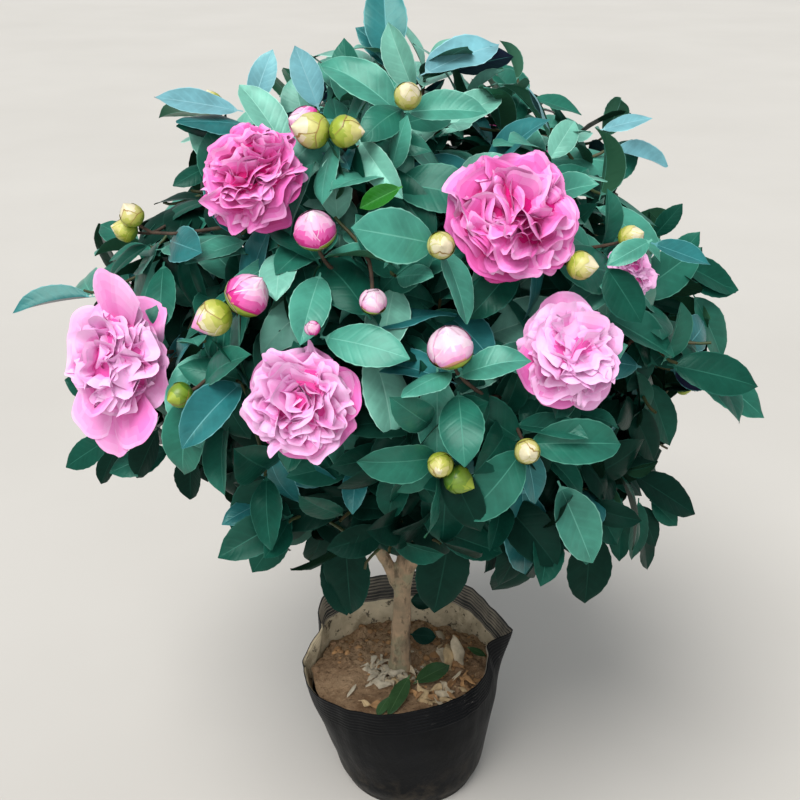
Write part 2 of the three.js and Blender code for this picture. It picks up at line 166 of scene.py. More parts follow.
# Rooms kept clear of leaves, each from one point to another with a half width: before the
# trunk's fork first, then the bays in the crown's outline, then before a bloom's loose petals.
CLEARINGS = [
    ((-0.006, -0.02, 0.294), (-0.006, -0.30, 0.464), 0.026),
    ((-0.058, -0.228, 0.418), (-0.052, -0.34, 0.478), 0.027),
    ((0.043, -0.228, 0.418), (0.038, -0.34, 0.478), 0.025),
    ((-0.203, -0.26, 0.837), (-0.313, 0.26, 0.718), 0.035),
    ((-0.235, -0.26, 0.810), (-0.362, 0.26, 0.676), 0.017),
    ((-0.142, -0.26, 0.911), (-0.219, 0.26, 0.831), 0.020),
    ((0.140, -0.26, 0.898), (0.216, 0.26, 0.812), 0.026),
    ((-0.046, -0.26, 0.946), (-0.071, 0.26, 0.885), 0.014),
    ((0.023, -0.26, 0.947), (0.036, 0.26, 0.886), 0.015),
    ((-0.214, -0.26, 0.533), (-0.330, 0.26, 0.249), 0.027),
    ((-0.178, -0.26, 0.523), (-0.275, 0.26, 0.233), 0.020),
    ((0.256, -0.26, 0.612), (0.395, 0.26, 0.371), 0.026),
    ((0.245, -0.26, 0.559), (0.378, 0.26, 0.289), 0.016),
    ((-0.276, -0.26, 0.760), (-0.426, 0.26, 0.600), 0.015),
    ((-0.296, -0.26, 0.697), (-0.456, 0.26, 0.502), 0.010),
    ((0.202, -0.26, 0.819), (0.311, 0.26, 0.689), 0.016),
    ((0.302, -0.26, 0.675), (0.465, 0.26, 0.468), 0.013),
    ((0.243, -0.26, 0.618), (0.375, 0.26, 0.380), 0.012),
    ((0.294, -0.26, 0.729), (0.454, 0.26, 0.552), 0.012),
    ((-0.250, -0.235, 0.728), (-0.208, -0.40, 0.783), 0.028),
    ((-0.252, -0.240, 0.587), (-0.211, -0.40, 0.664), 0.030),
]

# A placed leaf: its tone, where it starts and ends, the way its upper face looks, as turn and
# rise, and, where it isn't left to chance, its width over its length.
PLACED_LEAF = "tone base tip face wide"
# Leaves lying on the soil and standing up behind the trunk; those behind it are painted deep, as
# shade.
FALLEN_LEAVES = rows_of(PLACED_LEAF, [
    ("moss", (0.016, -0.038, 0.156), (0.058, -0.009, 0.163), (0, 62)),
    ("moss", (0.012, -0.038, 0.169), (-0.012, -0.086, 0.154), (-20, 48), 0.42),
    ("moss", (-0.012, -0.066, 0.160), (-0.026, -0.089, 0.154), (-40, 40), 0.5),
    ("deep", (0.012, 0.092, 0.189), (0.042, 0.092, 0.187), (0, 20), 0.8),
    ("deep", (0.013, 0.050, 0.166), (0.043, 0.050, 0.162), (0, 30), 0.8),
    ("moss", (0.085, 0.032, 0.159), (0.106, 0.022, 0.154), (-20, 60), 0.4),
])
# Husks on the soil: place, heading in degrees, length, tone, curl, how many degrees the tip
# lifts, and how far the husk lies above the soil.
HUSKS = rows_of("at heading length tone curl lift up", [
    ((0.066, 0.034), 290, 0.046, "pale", 1.2, -20, 0.022),
    ((0.060, 0.028), 270, 0.052, "tan", 1.0, -16, 0.016),
    ((0.046, 0.036), 300, 0.036, "pale", 1.3, 0, 0.008),
    ((0.046, 0.086), 325, 0.032, "pale", 0.9, -10, 0.012),
    ((0.022, -0.042), 285, 0.040, "tan", 1.2, -14, 0.012),
    ((0.048, -0.030), 300, 0.026, "pale", 1.0, 0, 0.006),
    ((0.080, -0.014), 260, 0.026, "rust", 0.8, 0, 0.004),
    ((-0.056, -0.034), 250, 0.018, "grey", 0.6, 0, 0.002),
    ((-0.050, -0.066), 340, 0.030, "tan", 0.8, 0, 0.004),
    ((-0.036, -0.078), 20, 0.024, "brown", 1.0, 0, 0.004),
])
# Heaps of small husks: the middle, how far they scatter, how many, their lengths, how high they
# lie and their tones.
HUSK_HEAPS = rows_of("at scatter count length up tones", [
    ((-0.017, -0.010), (0.011, 0.011), 54, (0.010, 0.026), 0.007, ["grey", "grey", "grey", "pale"]),
    ((0.003, -0.021), (0.012, 0.006), 18, (0.008, 0.018), 0.004, ["pale", "grey", "tan"]),
    ((0.052, -0.046), (0.020, 0.018), 34, (0.010, 0.026), 0.005,
     ["tan", "rust", "rust", "brown", "pale"]),
    ((0.070, 0.010), (0.016, 0.026), 22, (0.010, 0.024), 0.004, ["tan", "rust", "brown", "brown"]),
])

# The leaves that stand out of the crown's outline or hang alone; the deep and dark ones low down
# are painted shade.
FAR_LEAVES = rows_of(PLACED_LEAF, [
    ("blue", (-0.011, -0.060, 0.882), (-0.016, -0.020, 0.956), (0, 20)),
    ("middle", (-0.046, -0.095, 0.848), (-0.052, -0.080, 0.908), (-12, 20)),
    ("blue", (0.019, -0.040, 0.869), (-0.036, -0.030, 0.915), (10, 30)),
    ("pale", (0.014, -0.120, 0.868), (-0.010, -0.115, 0.925), (-30, 20)),
    ("sky", (0.020, -0.030, 0.872), (0.091, 0.010, 0.900), (-25, 60)),
    ("blue", (0.052, 0.030, 0.866), (0.108, 0.016, 0.886), (200, 20)),
    ("sky", (-0.143, -0.050, 0.842), (-0.126, -0.040, 0.894), (-20, 30)),
    ("sky", (-0.078, -0.050, 0.842), (-0.098, -0.040, 0.896), (10, 30)),
    ("sky", (-0.150, -0.060, 0.843), (-0.222, -0.080, 0.861), (-20, 65)),
    ("blue", (-0.144, -0.070, 0.832), (-0.200, -0.100, 0.846), (-30, 60)),
    ("fresh", (0.002, -0.262, 0.820), (-0.030, -0.264, 0.805), (0, 40)),
    ("middle", (0.283, -0.060, 0.600), (0.384, -0.068, 0.535), (12, 54), 0.42),
    ("dark", (0.272, -0.060, 0.682), (0.340, -0.060, 0.668), (10, 60)),
    ("sky", (0.214, -0.010, 0.795), (0.276, 0.020, 0.776), (0, 60)),
    ("blue", (-0.322, -0.020, 0.642), (-0.402, -0.028, 0.636), (0, 84)),
    ("light", (0.031, -0.300, 0.678), (0.031, -0.322, 0.604), (0, 22)),
    ("deep", (-0.068, -0.190, 0.445), (-0.056, -0.210, 0.376), (-10, 10)),
    ("deep", (0.201, -0.120, 0.424), (0.202, -0.125, 0.334), (8, 14)),
    ("blue", (0.114, -0.228, 0.530), (0.122, -0.226, 0.436), (16, 5)),
    ("light", (0.146, -0.238, 0.538), (0.180, -0.252, 0.464), (10, 25)),
    ("deep", (0.240, -0.110, 0.480), (0.308, -0.108, 0.434), (20, 40)),
    ("middle", (0.178, -0.215, 0.694), (0.246, -0.208, 0.655), (20, 50)),
    ("dark", (-0.120, -0.228, 0.548), (-0.153, -0.230, 0.472), (-20, 18)),
    ("deep", (-0.286, -0.120, 0.520), (-0.310, -0.125, 0.478), (-20, 30)),
    ("deep", (-0.054, -0.210, 0.478), (-0.050, -0.214, 0.380), (-4, 16)),
    ("deep", (0.050, -0.210, 0.474), (0.036, -0.215, 0.382), (6, 14)),
    ("sky", (0.204, 0.010, 0.811), (0.250, 0.004, 0.826), (10, 60)),
    ("dark", (0.261, -0.020, 0.706), (0.285, -0.025, 0.740), (10, 30)),
    ("middle", (0.274, -0.040, 0.676), (0.300, -0.045, 0.716), (0, 40)),
    ("deep", (0.252, -0.110, 0.433), (0.269, -0.115, 0.371), (60, 20)),
    ("dark", (0.263, -0.110, 0.448), (0.292, -0.115, 0.422), (10, 30)),
    ("dark", (-0.110, -0.200, 0.472), (-0.144, -0.205, 0.422), (-10, 20)),
    ("deep", (0.150, -0.150, 0.444), (0.158, -0.155, 0.382), (70, 20)),
    ("dark", (-0.285, -0.150, 0.541), (-0.331, -0.155, 0.513), (-10, 40)),
    ("deep", (-0.202, -0.180, 0.545), (-0.207, -0.183, 0.492), (-10, 20)),
    ("deep", (-0.236, -0.160, 0.556), (-0.262, -0.163, 0.505), (-10, 20)),
    ("dark", (0.246, -0.120, 0.590), (0.274, -0.123, 0.524), (20, 30)),
    ("light", (0.214, -0.236, 0.768), (0.178, -0.250, 0.752), (10, 40)),
    ("blue", (0.214, -0.232, 0.764), (0.262, -0.236, 0.748), (20, 40)),
    ("dark", (0.174, -0.244, 0.748), (0.204, -0.262, 0.708), (10, 30), 0.7),
    ("middle", (0.130, -0.020, 0.849), (0.176, -0.022, 0.836), (10, 60)),
    ("dark", (-0.172, -0.060, 0.818), (-0.206, -0.080, 0.835), (-10, 60)),
    ("dark", (-0.180, -0.080, 0.797), (-0.212, -0.100, 0.784), (-10, 50)),
    ("dark", (0.234, -0.110, 0.450), (0.235, -0.113, 0.380), (-30, 20), 0.4),
    ("deep", (0.252, -0.112, 0.445), (0.272, -0.115, 0.398), (10, 30)),
    ("dark", (0.246, -0.132, 0.462), (0.249, -0.135, 0.392), (30, 20), 0.44),
    ("dark", (0.276, -0.060, 0.696), (0.338, -0.060, 0.665), (10, 50)),
    ("middle", (0.298, -0.060, 0.660), (0.337, -0.060, 0.595), (20, 40)),
])


# ---------------------------------------------------------------- camera, light, floor

VIEW_FROM = (0.0, -1.222, 1.058)
VIEW_DOWN = 24                           # degrees below level
LENS = 54                                # for a sensor of that width
SENSOR = 36
SKY_COLOUR = (0.90, 0.96, 1.0, 1)
SKY_STRENGTH = 0.48
# Turn from the front towards the right and rise, softness in degrees, strength and colour.
SUNS = [
    ("key", -28, 60, 36, 3.15, (1.0, 0.985, 0.96)),
    ("fill", -6, 20, 60, 0.95, (1.0, 0.99, 0.98)),
]
FLOOR_REACH = 30


def linked(name, data):
    """A new object, put into the scene."""
    made = bpy.data.objects.new(name, data)
    bpy.context.scene.collection.objects.link(made)
    return made


def set_camera():
    """Looks a little down on the shrub from the front."""
    camera = bpy.data.cameras.new("camera")
    camera.sensor_width = SENSOR
    camera.lens = LENS
    viewer = linked("camera", camera)
    viewer.location = VIEW_FROM
    viewer.rotation_euler = (math.radians(90 - VIEW_DOWN), 0, 0)
    bpy.context.scene.camera = viewer


def sun(name, turn, rise, softness, strength, colour):
    """A soft distant light from that turn, left of the front below 0, and that height."""
    light = bpy.data.lights.new(name, "SUN")
    light.angle = math.radians(softness)
    light.energy = strength
    light.color = colour
    lamp = linked(name, light)
    lamp.rotation_euler = Vector(-aimed(turn, rise)).to_track_quat("-Z", "Y").to_euler()


def set_lights():
    """An even pale sky, with one broad soft light high above the front left and a weak one low
    in front that reaches in under the crown."""
    world = bpy.data.worlds.new("sky")
    world.use_nodes = True
    sky = world.node_tree.nodes["Background"]
    sky.inputs["Color"].default_value = SKY_COLOUR
    sky.inputs["Strength"].default_value = SKY_STRENGTH
    bpy.context.scene.world = world
    for light in SUNS:
        sun(*light)
    bpy.context.scene.view_settings.view_transform = "Standard"


def lay_floor():
    """A plain pale floor."""
    mesh = bpy.data.meshes.new("floor")
    reach = FLOOR_REACH
    corners = [(-reach, -reach, 0), (reach, -reach, 0), (reach, reach, 0), (-reach, reach, 0)]
    mesh.from_pydata(corners, [], [(0, 1, 2, 3)])
    floor = linked("floor", mesh)
    mesh.materials.append(plain_mottled(
        "floor", (0.53, 0.505, 0.47), (0.56, 0.535, 0.50), 1.2, 0.8, relief=0.0))


# ---------------------------------------------------------------- shader node groups

def feed(tree, node, values):
    """Gives a node's inputs their values by name: each a socket to link or a plain value."""
    for key, value in values.items():
        feed_socket(tree, node.inputs[key.replace("_", " ")], value)


def feed_socket(tree, socket, value):
    if isinstance(value, bpy.types.NodeSocket):
        tree.links.new(value, socket)
    else:
        socket.default_value = value


def add_node(tree, kind, settings=None, **values):
    """A node with its settings and the values of its inputs."""
    node = tree.nodes.new(kind)
    for key, value in (settings or {}).items():
        setattr(node, key, value)
    feed(tree, node, values)
    return node


def new_group(name, inputs, outputs):
    """An empty shader group; inputs are (name, socket type, default) rows, and outputs are
    (name, socket type) rows."""
    group = bpy.data.node_groups.new(name, "ShaderNodeTree")
    for label, kind, value in inputs:
        socket = group.interface.new_socket(label, in_out="INPUT", socket_type=kind)
        socket.default_value = value
    for label, kind in outputs:
        group.interface.new_socket(label, in_out="OUTPUT", socket_type=kind)
    entry = group.nodes.new("NodeGroupInput")
    leave = group.nodes.new("NodeGroupOutput")
    return group, entry.outputs, leave


def place_group(tree, group, **values):
    """The outputs of a group placed in a material with its own values."""
    return add_node(tree, "ShaderNodeGroup", {"node_tree": group}, **values).outputs


def math_node(tree, operation, *values):
    node = add_node(tree, "ShaderNodeMath", {"operation": operation})
    for socket, value in zip(node.inputs, values):
        feed_socket(tree, socket, value)
    return node.outputs[0]


def mix_colours(tree, factor, first, second):
    """Mixes two colours by a factor socket."""
    node = add_node(tree, "ShaderNodeMix", {"data_type": "RGBA"})
    for slot, value in ((0, factor), (6, first), (7, second)):
        feed_socket(tree, node.inputs[slot], value)
    return node.outputs[2]


def noise_value(tree, scale, detail=4.0, roughness=0.55, warp=(1, 1, 1)):
    """Noise over the object's own coordinates; warp stretches it along the axes."""
    place = tree.nodes.new("ShaderNodeTexCoord")
    mapping = add_node(tree, "ShaderNodeMapping", Scale=warp, Vector=place.outputs["Object"])
    texture = add_node(tree, "ShaderNodeTexNoise", Vector=mapping.outputs[0], Scale=scale,
                       Detail=detail, Roughness=roughness)
    return texture.outputs["Fac"]


def object_place(tree):
    """X, Y and Z of the object's own coordinates."""
    place = tree.nodes.new("ShaderNodeTexCoord")
    return add_node(tree, "ShaderNodeSeparateXYZ", Vector=place.outputs["Object"]).outputs


def ramp(tree, value, low, high):
    """value turned from low..high into 0..1."""
    node = add_node(tree, "ShaderNodeMapRange", From_Min=low, From_Max=high, Value=value)
    return node.outputs["Result"]


def make_mottle_group():
    """Colour that wanders between two tones in soft patches, and the patches' height."""
    group, entry, leave = new_group(
        "mottle",
        [("Tone", "NodeSocketColor", (0.5, 0.5, 0.5, 1)),
         ("Second Tone", "NodeSocketColor", (0.6, 0.6, 0.6, 1)),
         ("Scale", "NodeSocketFloat", 30.0)],
        [("Color", "NodeSocketColor"), ("Height", "NodeSocketFloat")],
    )
    patches = noise_value(group, entry["Scale"])
    share = ramp(group, patches, 0.32, 0.68)
    colour = mix_colours(group, share, entry["Tone"], entry["Second Tone"])
    feed(group, leave, {"Color": colour, "Height": patches})
    return group


def make_vein_group():
    """The side veins of a blade from its midrib outwards, laid along the blade's own length."""
    group, entry, leave = new_group(
        "leaf_veins",
        [("Veins", "NodeSocketFloat", 8.0), ("Sweep", "NodeSocketFloat", 0.2)],
        [("Height", "NodeSocketFloat"), ("Mask", "NodeSocketFloat")],
    )
    blade = add_node(group, "ShaderNodeUVMap", {"uv_map": "blade"})
    place = add_node(group, "ShaderNodeSeparateXYZ", Vector=blade.outputs[0]).outputs
    across = math_node(group, "ABSOLUTE", place["Y"])
    swept = math_node(group, "MULTIPLY", across, entry["Sweep"])
    along = math_node(group, "SUBTRACT", place["X"], swept)
    phase = math_node(group, "MULTIPLY", along, entry["Veins"])
    wave = math_node(group, "PINGPONG", phase, 0.5)
    height = ramp(group, wave, 0.0, 0.22)
    fade = ramp(group, across, 0.95, 0.5)
    mask = math_node(group, "MULTIPLY", math_node(group, "SUBTRACT", 1.0, height), fade)
    feed(group, leave, {"Height": height, "Mask": mask})
    return group


def make_dust_group():
    """Pale dust: a mask that is fullest low down, broken up by noise."""
    group, entry, leave = new_group(
        "dust",
        [("Top", "NodeSocketFloat", 0.08), ("Scale", "NodeSocketFloat", 60.0)],
        [("Mask", "NodeSocketFloat")],
    )
    lowness = ramp(group, object_place(group)["Z"], entry["Top"], 0.0)
    specks = ramp(group, noise_value(group, entry["Scale"], 8.0, 0.7), 0.46, 0.7)
    feed(group, leave, {"Mask": math_node(group, "MULTIPLY", specks, lowness)})
    return group


mottle_group = make_mottle_group()
vein_group = make_vein_group()
dust_group = make_dust_group()


# ---------------------------------------------------------------- materials

def principled(name, **values):
    """A material of one Principled shader, with the constant values set on its own sockets."""
    material = bpy.data.materials.new(name)
    material.use_nodes = True
    tree = material.node_tree
    shader = tree.nodes["Principled BSDF"]
    feed(tree, shader, values)
    return material, tree, shader


def shade(colour, factor=1.0):
    """A colour made lighter or darker, with its alpha."""
    return tuple(min(1.0, part * factor) for part in colour[:3]) + (1,)


def mottle(tree, first, second, scale):
    return place_group(
        tree, mottle_group, Tone=shade(first), Second_Tone=shade(second), Scale=scale)


def tinted(tree, under, mask, share, colour):
    """A colour laid over another where a mask shows, up to a share."""
    return mix_colours(tree, math_node(tree, "MULTIPLY", mask, share), under, shade(colour))


def surface(tree, shader, colour, height, strength, distance):
    """Gives a shader its colour and its relief."""
    relief = add_node(tree, "ShaderNodeBump", Strength=strength, Distance=distance, Height=height)
    feed(tree, shader, {"Base Color": colour, "Normal": relief.outputs[0]})


def leaf_material(name, colour, back, gloss):
    """A leathery blade: mottled, side veins pressed in, a soft gloss, and a duller underside."""
    material, tree, shader = principled(
        name, Roughness=0.32, Specular_IOR_Level=gloss, Specular_Tint=LEAF_SHEEN)
    patches = mottle(tree, shade(colour, 0.78), shade(colour, 1.25), 40.0)
    veins = place_group(tree, vein_group)
    veined = tinted(tree, patches["Color"], veins["Mask"], 0.13, shade(colour, 1.7))
    side = tree.nodes.new("ShaderNodeNewGeometry")
    both = mix_colours(tree, side.outputs["Backfacing"], veined, shade(back))
    surface(tree, shader, both, veins["Height"], 0.16, 0.0005)
    return material


def plain_mottled(name, colour, second, scale, roughness, relief=0.2, depth=0.0005, **values):
    """A surface whose colour wanders between two tones, with a fine relief of its own."""
    material, tree, shader = principled(name, Roughness=roughness, **values)
    patches = mottle(tree, colour, second, scale)
    surface(tree, shader, patches["Color"], patches["Height"], relief, depth)
    return material


# Leaf tones: deep, dark, middle, light and pale paint the shade and light a leaf gets, sky is
# a painted reflection of the sky, and the vivid green one paints light shining through a leaf:
# blade, underside, midrib, saw edge and gloss.
LEAF_TONES = {
    "deep": ((0.003, 0.022, 0.015), (0.008, 0.026, 0.014), (0.007, 0.040, 0.028),
             (0.006, 0.036, 0.025), 0.08),
    "dark": ((0.005, 0.054, 0.036), (0.014, 0.052, 0.028), (0.016, 0.100, 0.070),
             (0.014, 0.092, 0.066), 0.16),
    "middle": ((0.015, 0.115, 0.080), (0.028, 0.100, 0.052), (0.045, 0.200, 0.146),
               (0.055, 0.215, 0.158), 0.30),
    "light": ((0.052, 0.240, 0.178), (0.046, 0.155, 0.085), (0.115, 0.370, 0.285),
              (0.160, 0.420, 0.330), 0.42),
    "pale": ((0.150, 0.400, 0.315), (0.080, 0.220, 0.140), (0.250, 0.540, 0.440),
             (0.320, 0.610, 0.510), 0.50),
    # A vivid green that paints light shining through a leaf.
    "fresh": ((0.016, 0.140, 0.010), (0.045, 0.180, 0.025), (0.050, 0.230, 0.040),
              (0.045, 0.230, 0.040), 0.30),
    "blue": ((0.018, 0.135, 0.140), (0.024, 0.026, 0.066), (0.080, 0.270, 0.285),
             (0.100, 0.300, 0.315), 0.40),
    "moss": ((0.030, 0.070, 0.026), (0.050, 0.090, 0.040), (0.080, 0.150, 0.065),
             (0.050, 0.100, 0.040), 0.16),
    "sky": ((0.150, 0.360, 0.410), (0.060, 0.130, 0.150), (0.250, 0.490, 0.540),
            (0.280, 0.540, 0.590), 0.45),
}
LEAF_SHEEN = (0.62, 1.0, 0.88, 1)
# The painted tones of a leaf, from the deepest painted shade to the most painted light.
LADDER = ["deep", "dark", "middle", "light", "pale"]
LEAF_PARTS = 3                           # slots to a tone: blade, midrib, saw edge


def leaf_materials():
    """Every leaf slot, in the order that leaf_slots() counts them."""
    made = []
    for name, (blade, back, rib, edge, gloss) in LEAF_TONES.items():
        made.append(leaf_material(f"leaf_{name}", blade, back, gloss))
        for part, colour in (("rib", rib), ("edge", edge)):
            made.append(plain_mottled(
                f"leaf_{name}_{part}", shade(colour, 0.9), shade(colour, 1.1), 60.0, 0.45,
                Specular_IOR_Level=gloss, Specular_Tint=LEAF_SHEEN))
    return made


PETAL_SHADES = 14
PETAL_DEEP = (0.58, 0.006, 0.19)
PETAL_MIDDLE = (0.80, 0.165, 0.52)
PETAL_PALE = (0.89, 0.51, 0.80)
PETAL_EMBER = (0.85, 0.14, 0.05)


def petal_colour(share):
    """Deep at 0, through pink, to pale at 1."""
    if share < 0.5:
        low, high, part = PETAL_DEEP, PETAL_MIDDLE, share * 2
    else:
        low, high, part = PETAL_MIDDLE, PETAL_PALE, share * 2 - 1
    return tuple(a + (b - a) * part for a, b in zip(low, high))


def petal_materials():
    """The petal shades, deep to pale, then the ember colour of the innermost folds."""
    colours = [petal_colour(index / (PETAL_SHADES - 1)) for index in range(PETAL_SHADES)]
    made = []
    for index, colour in enumerate(colours + [PETAL_EMBER]):
        made.append(plain_mottled(
            f"petal_{index}", shade(colour, 0.96), shade(colour, 1.04), 90.0, 0.6,
            relief=0.12, depth=0.0004, Sheen_Weight=0.06, Sheen_Roughness=0.4,
            Specular_IOR_Level=0.2))
    return made


BUD_TONES = {
    "green": (0.070, 0.165, 0.014),
    "moss": (0.155, 0.255, 0.018),
    "lime": (0.30, 0.38, 0.032),
    "yellow": (0.45, 0.47, 0.085),
    "straw": (0.58, 0.54, 0.19),
    "cream": (0.71, 0.64, 0.43),
    "tan": (0.34, 0.21, 0.06),
    "peach": (0.70, 0.33, 0.20),
    "magenta": (0.60, 0.015, 0.23),
    "rose": (0.72, 0.10, 0.38),
    "pink": (0.81, 0.30, 0.57),
    "light": (0.81, 0.44, 0.64),
    "blush": (0.81, 0.60, 0.71),
}


def bud_materials():
    return [plain_mottled(name, shade(colour, 0.88), shade(colour, 1.1), 140.0, 0.38)
            for name, colour in BUD_TONES.items()]


# ---------------------------------------------------------------- joined meshes

class Joined:
    """Many small grids of quads gathered into one mesh, each quad with its material slot."""

    def __init__(self, name, materials):
        self.name = name
        self.materials = materials
        self.points = []
        self.quads = []
        self.slots = []
        self.places = []
        self.count = 0

    def add(self, points, slots, places=None, closed=False):
        """points is (rows, columns, 3); slots is one number or one for each quad; closed joins
        the last column back to the first."""
        rows, columns = points.shape[:2]
        index = np.arange(rows * columns).reshape(rows, columns) + self.count
        right = np.roll(index, -1, axis=1) if closed else index[:, 1:]
        left = index if closed else index[:, :-1]
        quads = np.stack([left[:-1], right[:-1], right[1:], left[1:]], axis=-1).reshape(-1, 4)
        self.points.append(points.reshape(-1, 3))
        self.quads.append(quads)
        self.slots.append(np.broadcast_to(slots, (rows - 1, left.shape[1])).reshape(-1))
        if places is None:
            places = np.zeros((rows, columns, 2))
        self.places.append(places.reshape(-1, 2))
        self.count += rows * columns

    def build(self, slot, *replaced):
        """The finished object, riding on the root and standing for the CAD nodes named."""
        points = np.concatenate(self.points)
        quads = np.concatenate(self.quads)
        mesh = bpy.data.meshes.new(self.name)
        mesh.vertices.add(len(points))
        mesh.vertices.foreach_set("co", points.astype(np.float32).ravel())
        mesh.loops.add(quads.size)
        mesh.loops.foreach_set("vertex_index", quads.astype(np.int32).ravel())
        mesh.polygons.add(len(quads))
        mesh.polygons.foreach_set("loop_start", np.arange(0, quads.size, 4, dtype=np.int32))
        mesh.polygons.foreach_set("material_index", np.concatenate(self.slots).astype(np.int32))
        mesh.polygons.foreach_set("use_smooth", np.ones(len(quads), dtype=bool))
        mesh.update(calc_edges=True)
        layer = mesh.uv_layers.new(name="blade")
        places = np.concatenate(self.places)[quads.ravel()]
        layer.data.foreach_set("uv", places.astype(np.float32).ravel())
        for material in self.materials:
            mesh.materials.append(material)
        return finished(self.name, mesh, slot, *replaced)


def finished(name, mesh, slot, *replaced):
    """Puts a mesh into the scene as a piece of the shrub."""
    piece = linked(name, mesh)
    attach(piece, "root")
    if replaced:
        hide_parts(*replaced)
    return piece


# ---------------------------------------------------------------- directions

def unit(vector):
    return vector / max(1e-9, np.linalg.norm(vector))


def round_turns(count):
    """Evenly spaced turns round a circle."""
    return np.arange(count) * 2 * math.pi / count


def dealt(spans, rng):
    """A value out of each named span, dealt in order."""
    return {name: rng.uniform(*span) for name, span in spans.items()}


def random_offset(rng, reach=1.0):
    return np.array([rng.uniform(-reach, reach) for _ in range(3)])


def frame_along(ahead, face):
    """Axes for a sheet that runs along ahead with its upper face towards face, as columns."""
    ahead = unit(ahead)
    across = unit(np.cross(face, ahead))
    return np.stack([ahead, across, np.cross(ahead, across)], axis=1)


def any_across(vector):
    other = np.array([0.0, 0.0, 1.0]) if abs(vector[2]) < 0.9 else np.array([1.0, 0.0, 0.0])
    return unit(np.cross(other, vector))


def around_axis(axis, turn):
    """The direction across axis at that turn about it."""
    side = any_across(axis)
    return side * math.cos(turn) + np.cross(axis, side) * math.sin(turn)


def aimed(turn, rise):
    """A direction: turn from the front towards the right, and rise above level, in degrees."""
    turn, rise = math.radians(turn), math.radians(rise)
    return np.array([math.sin(turn) * math.cos(rise), -math.cos(turn) * math.cos(rise),
                     math.sin(rise)])


def crown_place(around, out, high):
    turn = math.radians(around)
    return np.array([math.sin(turn) * out, -math.cos(turn) * out, high])


crown_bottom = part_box("foliage_lower_1")[0].z
crown_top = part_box("foliage_top")[1].z
CROWN_MIDDLE = np.array([0.0, 0.0, (crown_bottom + crown_top) / 2 - 0.05])


def crown_outward(place):
    """The way out of the crown at a place, as the skin of a dome has it."""
    return unit((place - CROWN_MIDDLE) / np.array([1.0, 1.0, 0.86]))


# ---------------------------------------------------------------- leaves

def smooth(value, low, high):
    share = np.clip((value - low) / (high - low), 0, 1)
    return share * share * (3 - 2 * share)


# The room kept clear round a bloom: how far before and behind it, and how far to its sides and
# round about, over its radius.
BLOOM_ROOM = {"behind": -0.15, "before": 4, "beside": 0.96, "round": 0.8}
# What a leaf's shape is dealt from: its fold along the midrib, its arch across it, its twist and
# the waves of its edge; and its droop.
LEAF_FORM = {"fold": (0.15, 0.72), "arch": (0.06, 0.46), "twist": (-0.35, 0.35),
             "wave": (0.01, 0.04), "phase": (0, 6)}
LEAF_DROOP = (0.2, 1.0)
PLACED_DROOP = (0.05, 0.25)


def blade_outline(along):
    """Half width of a blade, 0 to 1: broad from near its base, with a short drawn-out point."""
    body = np.sin(np.pi * np.clip(along, 0, 1) ** 0.93) ** 0.66
    return body * (1 - 0.42 * smooth(along, 0.84, 1.0))


def leaf_shape(length, width, rows, fold, arch, droop, twist, wave, phase):
    """A leaf along +X with its upper face to +Z: petiole, then a blade folded up from its
    midrib and arched down to its saw edges, drooping towards its point."""
    along = np.concatenate([[-PETIOLE_SHARE, -0.01], np.linspace(LEAF_FIRST_ROW, 1.0, rows)])
    half = 0.5 * width * blade_outline(along)
    half[:2] = PETIOLE_RADIUS
    half[-1] = LEAF_POINT
    across = np.tile(LEAF_ACROSS, (len(along), 1))
    teeth = np.where(np.arange(len(along)) % 2, 1 + LEAF_TOOTH, 1 - LEAF_TOOTH)
    teeth[[0, 1, 2, -1]] = 1
    across[:, 0] *= teeth
    across[:, -1] *= teeth
    spread = across * half[:, None]
    side = np.abs(across)
    rise = half[:, None] * (math.sin(fold) * side - arch * side ** 2)
    swing = np.sin(along[:, None] * RIPPLE_TURN + phase + np.sign(across))
    rise = rise + wave * width * swing * side ** 2 * smooth(along, 0.05, 0.4)[:, None]
    lean = twist * along[:, None]
    flat = spread * math.cos(fold)
    level = flat * np.cos(lean) - rise * np.sin(lean)
    rise = flat * np.sin(lean) + rise * np.cos(lean)
    bend = droop * along * (0.5 + 0.5 * np.clip(along, 0, 1))
    steps = np.diff(along, prepend=along[0]) * length
    line_x = np.cumsum(steps * np.cos(bend))
    line_z = np.cumsum(-steps * np.sin(bend))
    points = np.empty(across.shape + (3,))
    points[..., 0] = line_x[:, None] + rise * np.sin(bend)[:, None]
    points[..., 1] = level
    points[..., 2] = line_z[:, None] + rise * np.cos(bend)[:, None]
    places = np.stack([np.tile(along[:, None], (1, across.shape[1])), across], axis=-1)
    return points, places


def leaf_slots(tone, rows):
    """Slot numbers over a leaf: blade, midrib, saw edges, and the petiole in the rib's colour."""
    blade = list(LEAF_TONES).index(tone) * LEAF_PARTS
    rib, edge = blade + 1, blade + 2
    slots = np.tile([edge, blade, blade, rib, blade, blade, edge], (rows + 1, 1))
    slots[:2] = rib
    return slots


